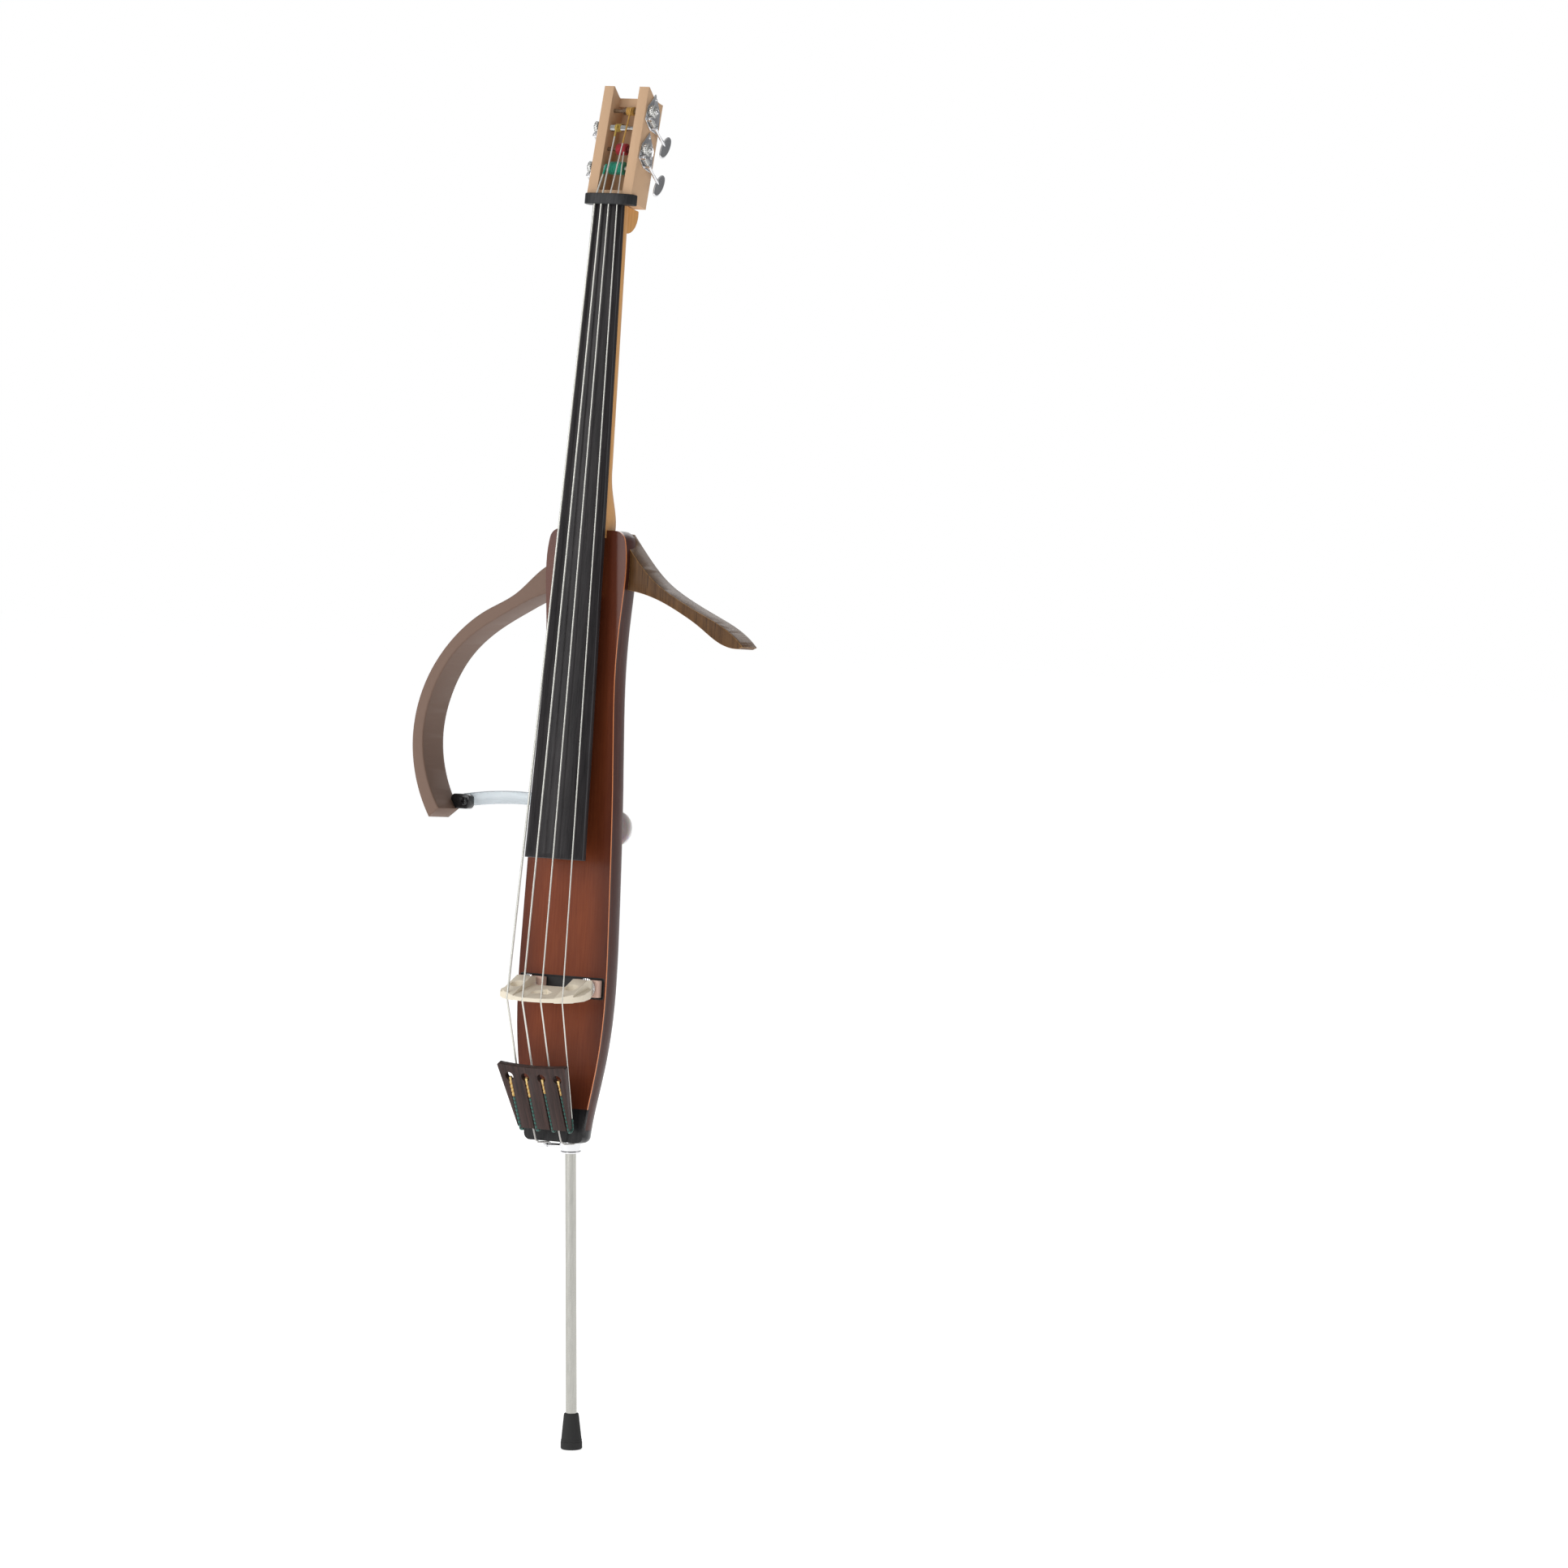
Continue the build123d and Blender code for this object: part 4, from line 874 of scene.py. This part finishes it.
@dataclass
class Strings:
    """The four strings, each of wound steel with silk at both ends and a ball in its keyhole."""

    plans: tuple[StringPlan, ...] = STRINGS
    silk_pitch: float = 5.6
    thread_pitch: float = 1.6
    ribbon_pitch: float = 0.9
    tail_silk: float = 94.0

    def build(self) -> None:
        """Makes every string and its silks."""
        for plan in self.plans:
            self.string(plan)
            self.windings(plan)

    def string(self, plan: StringPlan) -> None:
        """One string: thread from the post, bright wound steel, teal silk and the gold end.

        Args:
            plan: the string's own sizes.
        """
        path = plan.route()
        length = float(np.linalg.norm(np.diff(path, axis=0), axis=1).sum())
        thread = plan.thread_length * MM
        silk_from, gold_from = length - self.tail_silk * MM, length - plan.gold_length * MM
        radius = plan.diameter / 2 * MM
        node = f"string_{plan.key}"

        def even(s: Array, a: Array) -> Array:
            """The wound steel's radius, the same all along."""
            return np.full_like(s, radius)

        def threaded(s: Array, a: Array) -> Array:
            """The thread's radius, with one low ridge that climbs round it."""
            return radius * (1.02 + 0.05 * np.cos(a - 2 * math.pi * s / (self.thread_pitch * MM)))

        def twisted(s: Array, a: Array) -> Array:
            """The silk's radius: two strands laid round each other."""
            strand = plan.silk_r * MM
            return strand * (0.80 + 0.20 * np.abs(np.cos(a / 2 - math.pi * s / (self.silk_pitch * MM))))

        steel = swept(f"string_{plan.key}_wound", stretch(path, thread, silk_from), even, 14,
                      self.ribbon_pitch)
        mount(steel, node, Finishes.wound, node)
        start = swept(f"string_{plan.key}_thread", resampled(stretch(path, 0.0, thread), 0.5 * MM),
                      threaded, 14, self.thread_pitch)
        mount(start, node, plan.thread)
        for part, begin, end, finish in (("silk", silk_from, gold_from, SILK_TEAL),
                                         ("gold", gold_from, length, SILK_GOLD)):
            tail = swept(f"string_{plan.key}_{part}", resampled(stretch(path, begin, end), 0.45 * MM),
                         twisted, 20, self.silk_pitch)
            mount(tail, node, finish)
        ball = turned(f"string_{plan.key}_ball", TAIL.point(plan.tail_x, 66.0, -2.8), TAIL.up,
                      [(0, 0), (0, 2.4), (6.4, 2.4), (6.4, 0)], 0.7, 28)
        mount(ball, node, Finishes.brass)

    def windings(self, plan: StringPlan) -> None:
        """The turns on the post: a drum whose radius dips between turns that climb along it.

        Args:
            plan: the string's own sizes.
        """
        node = f"winding_{plan.key}"
        low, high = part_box(node)
        hub = JOINTS[f"post_{plan.key}_turn"]["pos_m"]
        pitch, grip = plan.diameter * 0.94, 0.9
        length = (high.x - low.x) / MM
        outer = plan.drum_r
        count = int(length / pitch * 9)
        along = np.linspace(0.0, length, count)
        inset = np.clip(np.minimum(along, length - along) / 1.2, 0.0, 1.0)
        shell = (outer - 1.3) + 1.3 * np.sqrt(1 - (1 - inset) ** 2)
        profile = [(0.0, 4.4), *zip(along, shell), (length, 4.4)]
        def ridge(s: Array, a: Array) -> Array:
            """Each turn is half a circle high, and its place climbs one pitch each time round."""
            phase = 2 * np.mod(s / pitch + a / (2 * math.pi), 1.0) - 1
            return 1 - grip * (pitch / 2 / outer) * (1 - np.sqrt(1 - phase**2))
        drum = turned(f"post_{plan.key}_turns", (low.x, hub[1], hub[2]), (1, 0, 0), profile, 0.0, 64, ridge)
        mesh = drum.data
        places = np.zeros(len(mesh.vertices) * 3)
        mesh.vertices.foreach_get("co", places)
        places = places.reshape(-1, 3) - (low.x, hub[1], hub[2])
        way = np.arctan2(places[:, 2], places[:, 1]) / (2 * math.pi)
        layer = mesh.uv_layers.new(name="turns")
        corners = np.zeros(len(mesh.loops), dtype=np.int32)
        mesh.loops.foreach_get("vertex_index", corners)
        pairs = np.stack([way * 16, places[:, 0] / (pitch * MM)], axis=-1)
        layer.data.foreach_set("uv", pairs[corners].astype(np.float32).ravel())
        mount(drum, node, plan.thread, node)


# ---------------------------------------------------------------- machine heads
@dataclass
class MachineHeads:
    """Four geared tuners: post and wheel, worm and key, and the plate that carries them."""

    sides: tuple[tuple[str, int], ...] = (("e", -1), ("a", -1), ("d", 1), ("g", 1))
    thread_pitch: float = 1.9
    grip_reach: float = 54.5
    screws: tuple[tuple[float, float], ...] = ((8.6, 19.0), (19.5, -18.5), (-5.0, -6.5))

    def build(self) -> None:
        """Makes every tuner."""
        for key, side in self.sides:
            hub = np.array(JOINTS[f"post_{key}_turn"]["pos_m"])
            self.key(key, side)
            self.plate(key, side, hub)
            rounded_node(f"post_{key}", Finishes.steel, 0.18, segments=1)
            face = hub + (side * 44.6 * MM, 0, 0)
            mount(screw_head(f"gear_screw_{key}", face, (side, 0, 0), 3.1, 1.1, False), f"post_{key}",
                  Finishes.chrome)

    def key(self, key: str, side: int) -> None:
        """The worm, its stem and the dished oval grip.

        Args:
            key: which string's tuner.
            side: -1 on the left, 1 on the right.
        """
        joint = JOINTS[f"key_{key}_turn"]
        axis, spot = unit(np.array(joint["axis"])), np.array(joint["pos_m"])
        node = f"key_{key}"

        def spiral(s: Array, a: Array) -> Array:
            """The worm's single thread, as a factor on its radius."""
            return 1 - 0.14 * np.abs(2 * np.mod(s / self.thread_pitch + a / (2 * math.pi), 1) - 1)

        worm = [(3.2, 0.4), *((s, 3.0) for s in np.linspace(3.4, 14.6, 60)), (14.8, 0.4)]
        mount(turned(f"{node}_worm", spot, axis, worm, 0.0, 36, spiral), node, Finishes.steel)
        stem = [(-1.5, 0), (-1.5, 2.0), (17.9, 2.0), (17.9, 3.0), (20.4, 3.0), (20.4, 2.1), (34, 1.8),
                (43.5, 2.4), (47, 2.4), (51.5, 1.2), (51.5, 0)]
        mount(turned(f"{node}_stem", spot, axis, stem, 0.5, 32), node, Finishes.chrome)
        share = np.sin(np.linspace(0.02, math.pi / 2, 14))
        angle = np.linspace(0.0, 2 * math.pi, 56, endpoint=False)
        s, a = np.meshgrid(share, angle, indexing="ij")
        swell = 1.6 * np.sqrt(np.clip(1 - s**6, 0.0, 1.0)) * (0.62 + 0.38 * s**2)
        wide = np.cross((side, 0, 0), axis)
        flat = 9.0 * (s * np.cos(a))[..., None] * axis + 18.0 * (s * np.sin(a))[..., None] * wide
        lift = swell[..., None] * np.array((float(side), 0.0, 0.0))
        middle = spot + MM * self.grip_reach * axis
        rings = np.concatenate([middle + MM * (flat + lift), (middle + MM * (flat - lift))[::-1][1:]])
        mount(rings_to_mesh(f"{node}_grip", rings, 60.0), node, Finishes.chrome, node)

    def plate(self, key: str, side: int, hub: Array) -> None:
        """The plate with its worm lugs, its screws, and the collar round the post.

        Args:
            key: which string's tuner.
            side: -1 on the left, 1 on the right.
            hub: the post's centre.
        """
        node = f"tuner_plate_{key}"
        rounded_node(node, Finishes.chrome, 0.35)
        for number, (depth, up) in enumerate(self.screws, 1):
            seat = hub + (side * 34.5 * MM, 0, 0) + MM * (-depth * HEAD.out + side * up * HEAD.up)
            mount(screw_head(f"{node}_screw_{number}", seat, (side, 0, 0), 2.1, 1.2), node, Finishes.chrome)


# ---------------------------------------------------------------- wooden pieces
@dataclass
class Woodwork:
    """Body, neck, head, board and bout frames."""

    nut_half_width: float = 35.4
    nut_crown: float = 12.6
    nut_back: float = 13.5
    nut_height: float = 14.0
    nut_round: float = 1.2

    def build(self) -> None:
        """Dresses or rounds every wooden piece."""
        dress_node("top_plate", Finishes.sunburst)
        dress_node("body_back", Finishes.back)
        dress_node("neck", Finishes.neck)
        rounded_node("pegbox", Finishes.head, 1.3, segments=3)
        self.nut()
        # The fingerboard's rounded edges carry a painted highlight line.
        rounded_node("fingerboard", Finishes.ebony, 0.8, Finishes.ebony_edge_highlight)
        # The left frame's rounded edges carry a painted highlight line.
        rounded_node("left_frame", Finishes.walnut, 1.0, Finishes.walnut_edge_highlight)
        # The right frame's rounded ridges carry a painted highlight line.
        rounded_node("right_frame", Finishes.walnut_right, 1.0, Finishes.walnut_right_highlight)
        rounded_node("end_saddle", Finishes.saddle, 1.0)

    def nut(self) -> None:
        """The nut: a band whose front bows over the pegbox's corners and whose rims are rounded."""
        share = np.linspace(-1.0, 1.0, 61)
        turn = np.linspace(0.0, math.pi / 2, 5)
        inset = self.nut_round * (1 - np.sin(turn))
        height = self.nut_round * (1 - np.cos(turn))
        rows = [*zip(height, inset), *zip(self.nut_height - height[::-1], inset[::-1])]
        rings = []
        for up, shrink in rows:
            x = share * (self.nut_half_width - shrink)
            front = -4.0 + (self.nut_crown - shrink) * np.sqrt(np.clip(1 - share**4, 0.0, 1.0))
            back = np.full_like(x, -self.nut_back)
            rings.append(np.vstack([BOARD.point(x, up, front), BOARD.point(x[::-1], up, back)]))
        band = rings_to_mesh("nut_band", np.array(rings), 50.0)
        mount(band, "nut", Finishes.satin_black, "nut")


# ---------------------------------------------------------------- bridge and tail
@dataclass
class BridgeAndTail:
    """Bridge, adjusters, feet, pickups and the tailpiece with its wires."""

    def build(self) -> None:
        """Makes the pieces under the strings' lower ends."""
        rounded_node("bridge", Finishes.bridge, 1.0, segments=3)
        rounded_node("bridge_feet", Finishes.feet, 0.6)
        rounded_node("pickup_tray", Finishes.tray, 0.25)
        dress_node("pickups", Finishes.brass)
        for side in ("left", "right"):
            rounded_node(f"adjuster_{side}", Finishes.chrome, 0.2, segments=1)
        # The tailpiece's rounded edges carry a painted highlight line.
        rounded_node("tailpiece", Finishes.tail, 0.6, Finishes.tail_edge_highlight)
        dress_node("tail_wires", Finishes.cable)


# ---------------------------------------------------------------- band, clip and pad
@dataclass
class BodyRest:
    """The clear band across the left frame, its clip, and the pad on the back."""

    def build(self) -> None:
        """Makes the band's pieces and the pad."""
        rounded_node("band", Finishes.clear, 0.5)
        rounded_node("band_clip", Finishes.gloss_black, 1.4, segments=3)
        dress_node("pad_stud", Finishes.black)
        front, back = BODY.point(-194, 426, -51.9), BODY.point(-194, 426, -64.6)
        mount(screw_head("clip_screw_finished", front, BODY.out, 5.0, 2.6),
              "clip_screw", Finishes.gloss_black, "clip_screw")
        mount(screw_head("clip_screw_back", back, -BODY.out, 4.2, 1.6), "clip_screw", Finishes.steel)
        centre = BODY.point(18, 404, -80.6)
        dome = [(0.0, 0.0), (0.0, 19.5), (1.6, 22.8), (4.0, 23.0), (6.0, 22.2), (9.0, 19.0), (11.0, 14.5),
                (11.6, 13.2), (11.5, 10.0), (12.0, 5.0), (12.0, 0.0)]
        mount(turned("body_pad_finished", centre, -BODY.out, dome, 1.2, 72), "body_pad", Finishes.pad,
              "body_pad")


# ---------------------------------------------------------------- endpin
@dataclass
class Endpin:
    """Collar, thumbscrew, tube and rubber foot."""

    def build(self) -> None:
        """Makes the endpin's pieces."""
        rounded_node("endpin_collar", Finishes.chrome, 0.5)
        rounded_node("thumbscrew", Finishes.chrome, 0.9, segments=3)
        dress_node("endpin_tube", Finishes.tube)
        outline = [(0.0, 0.0), (0.0, 12.6), (1.4, 14.0), (9.6, 14.0), (10.2, 13.4), (10.8, 13.4),
                   (11.4, 13.9), (13.0, 13.2), (44.0, 9.9), (46.2, 9.4), (47.0, 8.6), (47.0, 7.25)]
        foot = turned("endpin_foot_finished", np.zeros(3), (0, 0, 1), outline, 0.5, 64)
        mount(foot, "endpin_foot", Finishes.rubber, "endpin_foot")


# ---------------------------------------------------------------- controls
@dataclass
class Controls:
    """The panel in the back with its knobs, switch and sockets, the battery door and what is inside."""

    panel_h: float = -56.0
    knobs: tuple[tuple[str, float], ...] = (("volume", 532.0), ("bass", 556.0), ("treble", 580.0))
    corners: tuple[tuple[float, float], ...] = ((-22, 509), (-22, 631), (22, 509), (22, 631))

    def build(self) -> None:
        """Makes the back's fittings."""
        rounded_node("control_panel", Finishes.black, 0.5)
        rounded_node("battery_door", Finishes.black, 0.8)
        dress_node("power_switch", Finishes.gloss_black)
        for node, finish in (("battery_box", Finishes.black), ("battery_cells", Finishes.cell),
                             ("pots", Finishes.steel), ("preamp_board", Finishes.circuit),
                             ("frame_bolts", Finishes.steel), ("output_jack", Finishes.steel),
                             ("phones_jack", Finishes.steel)):
            dress_node(node, finish)
        for name, v in self.knobs:
            self.knob(name, v)
        for number, (x, v) in enumerate(self.corners, 1):
            screw = screw_head(f"panel_screw_{number}", BODY.point(x, v, self.panel_h), -BODY.out, 3.0, 1.5)
            mount(screw, "panel_screws", Finishes.steel, "panel_screws")
        for name, x, r in (("output_jack", 14.0, 6.2), ("phones_jack", -14.0, 4.4)):
            nut = [(0, 0.7 * r), (0, 1.35 * r), (1.6, 1.35 * r), (1.6, 0.72 * r)]
            ring = self.hex_nut(f"{name}_nut", BODY.point(x, 608.0, self.panel_h), nut)
            mount(ring, name, Finishes.steel)

    @staticmethod
    def hex_nut(name: str, origin: Array, profile: list[tuple[float, float]]) -> bpy.types.Object:
        """A ring with six flats, turned from a closed outline.

        Args:
            name: the object's name.
            origin: a point on its axis.
            profile: (distance along, radius) corners of its section, in millimetres.

        Returns:
            The object.
        """
        axis = -BODY.out
        first, second = beside(axis)
        outline = np.array(profile)
        angle = np.linspace(0.0, 2 * math.pi, 48, endpoint=False)
        s, a = np.meshgrid(outline[:, 0], angle, indexing="ij")
        flats = math.cos(math.pi / 6) / np.cos(np.mod(a, math.pi / 3) - math.pi / 6)
        r = outline[:, 1][:, None] * np.where(outline[:, 1][:, None] > outline[:, 1].mean(), flats, 1.0)
        rings = origin + MM * (s[..., None] * axis + (r * np.cos(a))[..., None] * first
                               + (r * np.sin(a))[..., None] * second)
        return rings_to_mesh(name, rings, 25.0, capped=False)

    def knob(self, name: str, v: float) -> None:
        """A ribbed knob with a dished top and a pointer line.

        Args:
            name: which control.
            v: its place up the body, in millimetres.
        """
        node = f"knob_{name}"
        base = BODY.point(0, v, self.panel_h - 0.5)
        outline = [(0, 0), (0, 7.9), (1.2, 8.0), (9.0, 7.4), (11.0, 6.6), (10.6, 4.6), (10.4, 0)]

        def ribs(s: Array, a: Array) -> Array:
            """Shallow grooves round the knob's skirt, as a factor on its radius."""
            return 1 - 0.045 * (0.5 - 0.5 * np.cos(24 * a)) * ((s > 1.3) & (s < 9.6))

        knob = turned(f"{node}_finished", base, -BODY.out, outline, 0.5, 144, ribs)
        mount(knob, node, Finishes.black, node)
        line = turned(f"{node}_pointer", BODY.point(0, v + 3.0, self.panel_h - 11.2), BODY.up,
                      [(0, 0), (0, 0.5), (3.4, 0.5), (3.4, 0)], 0.2, 12)
        mount(line, node, Finishes.bridge)


# ---------------------------------------------------------------- stage
@dataclass
class Studio:
    """A pale floor, soft light from large panels and a long lens."""

    azimuth: float = 30.0
    elevation: float = 6.5
    distance: float = 12.0
    aim_right: float = 0.2743
    aim_up: float = 0.8576
    seen_width: float = 2.023
    world: float = 0.50
    floor_glow: float = 0.60
    floor_reach: float = 9.0
    horizon_tone: Tone = (0.62, 0.63, 0.65, 1.0)
    flag_tone: Tone = (0.36, 0.36, 0.37, 1.0)

    def build(self) -> None:
        """Makes the floor, the lights and the camera."""
        self.floor()
        self.sky()
        self.panel("key_panel", (-2.6, -3.2, 2.6), (0.0, 0.0, 1.0), 1.8, 2.6, 62.0)
        self.panel("front_panel", (-0.8, -4.6, 1.7), (0.0, 0.0, 0.9), 1.2, 2.8, 34.0)
        self.panel("right_strip", (2.6, 0.6, 1.3), (0.0, 0.0, 1.0), 0.35, 2.6, 5.0)
        self.panel("back_panel", (-0.8, 3.6, 2.8), (0.0, 0.0, 1.0), 2.2, 2.4, 40.0)
        self.camera()

    def floor(self) -> None:
        """A wide pale floor just under the foot."""
        reach = self.floor_reach
        corners = np.array([(-reach, -reach, 0), (reach, -reach, 0), (reach, reach, 0), (-reach, reach, 0.0)])
        floor = finish_mesh("floor", corners, [(0, 1, 2, 3)])
        dress(floor, Moulding("floor_paper", (0.86, 0.86, 0.86), (0.90, 0.90, 0.90), 0.3, 0.75, 0.05, 0.02))
        shader = floor.data.materials[0].node_tree.nodes["Principled BSDF"]
        shader.inputs["Emission Color"].default_value = (1.0, 1.0, 1.0, 1.0)
        shader.inputs["Emission Strength"].default_value = self.floor_glow

    def sky(self) -> None:
        """Soft light from above, a dim horizon with darker flags at both sides, and white behind it all.

        The flags give chrome and lacquer something dark to show; what the camera sees directly stays white.
        """
        world = bpy.data.worlds.new("studio")
        bpy.context.scene.world = world
        world.use_nodes = True
        tree = world.node_tree
        way = put(tree, "ShaderNodeSeparateXYZ", {0: put(tree, "ShaderNodeTexCoord").outputs["Generated"]})
        height = spread(tree, way.outputs[2], -0.05, 0.75)
        turn = math.radians(self.azimuth)
        across = put(tree, "ShaderNodeVectorMath", {0: put(tree, "ShaderNodeTexCoord").outputs["Generated"],
                                                    1: (math.cos(turn), math.sin(turn), 0.0)},
                     operation="DOT_PRODUCT")
        beyond = spread(tree, math_node(tree, "ABSOLUTE", across.outputs["Value"]), 0.55, 0.92)
        around = mixed(tree, beyond, self.horizon_tone, self.flag_tone)
        tone = mixed(tree, height, around, (1.0, 1.0, 1.0, 1.0))
        seen = put(tree, "ShaderNodeLightPath").outputs["Is Camera Ray"]
        background = tree.nodes["Background"]
        tree.links.new(mixed(tree, seen, tone, (1.0, 1.0, 1.0, 1.0)), background.inputs["Color"])
        lift = put(tree, "ShaderNodeMapRange", {0: seen, 3: self.world, 4: 1.0}).outputs[0]
        tree.links.new(lift, background.inputs["Strength"])

    @staticmethod
    def panel(name: str, place: Colour, aim: Colour, width: float, height: float, power: float) -> None:
        """A rectangular light.

        Args:
            name: the light's name.
            place, aim: where it stands and what it faces, in metres.
            width, height: its size in metres.
            power: its power in watts.
        """
        light = bpy.data.lights.new(name, "AREA")
        light.shape = "RECTANGLE"
        light.size, light.size_y, light.energy = width, height, power
        made = bpy.data.objects.new(name, light)
        bpy.context.scene.collection.objects.link(made)
        made.matrix_world = looking(np.array(place), np.array(aim))

    def camera(self) -> None:
        """A long lens at the instrument's front right, a little above its middle."""
        turn, rise = math.radians(self.azimuth), math.radians(self.elevation)
        right = np.array((math.cos(turn), math.sin(turn), 0.0))
        away = np.array((math.sin(turn) * math.cos(rise), -math.cos(turn) * math.cos(rise), math.sin(rise)))
        up = np.cross(away, right)
        aim = right * self.aim_right + up * self.aim_up
        lens = bpy.data.cameras.new("long_lens")
        lens.sensor_width = 36.0
        lens.lens = lens.sensor_width * self.distance / self.seen_width
        lens.clip_end = 200.0
        made = bpy.data.objects.new("camera", lens)
        bpy.context.scene.collection.objects.link(made)
        made.matrix_world = looking(aim + away * self.distance, aim)
        bpy.context.scene.camera = made


def looking(place: Array, aim: Array) -> Matrix:
    """A placement at a point whose own -Z looks at another.

    Args:
        place: where the thing stands, in metres.
        aim: what it looks at, in metres.

    Returns:
        Its world matrix.
    """
    back = unit(place - aim)
    right = unit(np.cross((0.0, 0.0, 1.0), back))
    up = np.cross(back, right)
    return Matrix([[right[i], up[i], back[i], place[i]] for i in range(3)] + [[0.0, 0.0, 0.0, 1.0]])


def main() -> None:
    """Builds the instrument's surfaces and the studio, and sets the view transform."""
    logging.basicConfig(level=logging.INFO, format="%(name)s: %(message)s")
    for assembly in (Woodwork(), Strings(), MachineHeads(), BridgeAndTail(), BodyRest(), Endpin(),
                     Controls(), Studio()):
        assembly.build()
    bpy.context.scene.view_settings.view_transform = "Standard"
    bpy.context.view_layer.update()


if __name__ == "__main__":
    main()
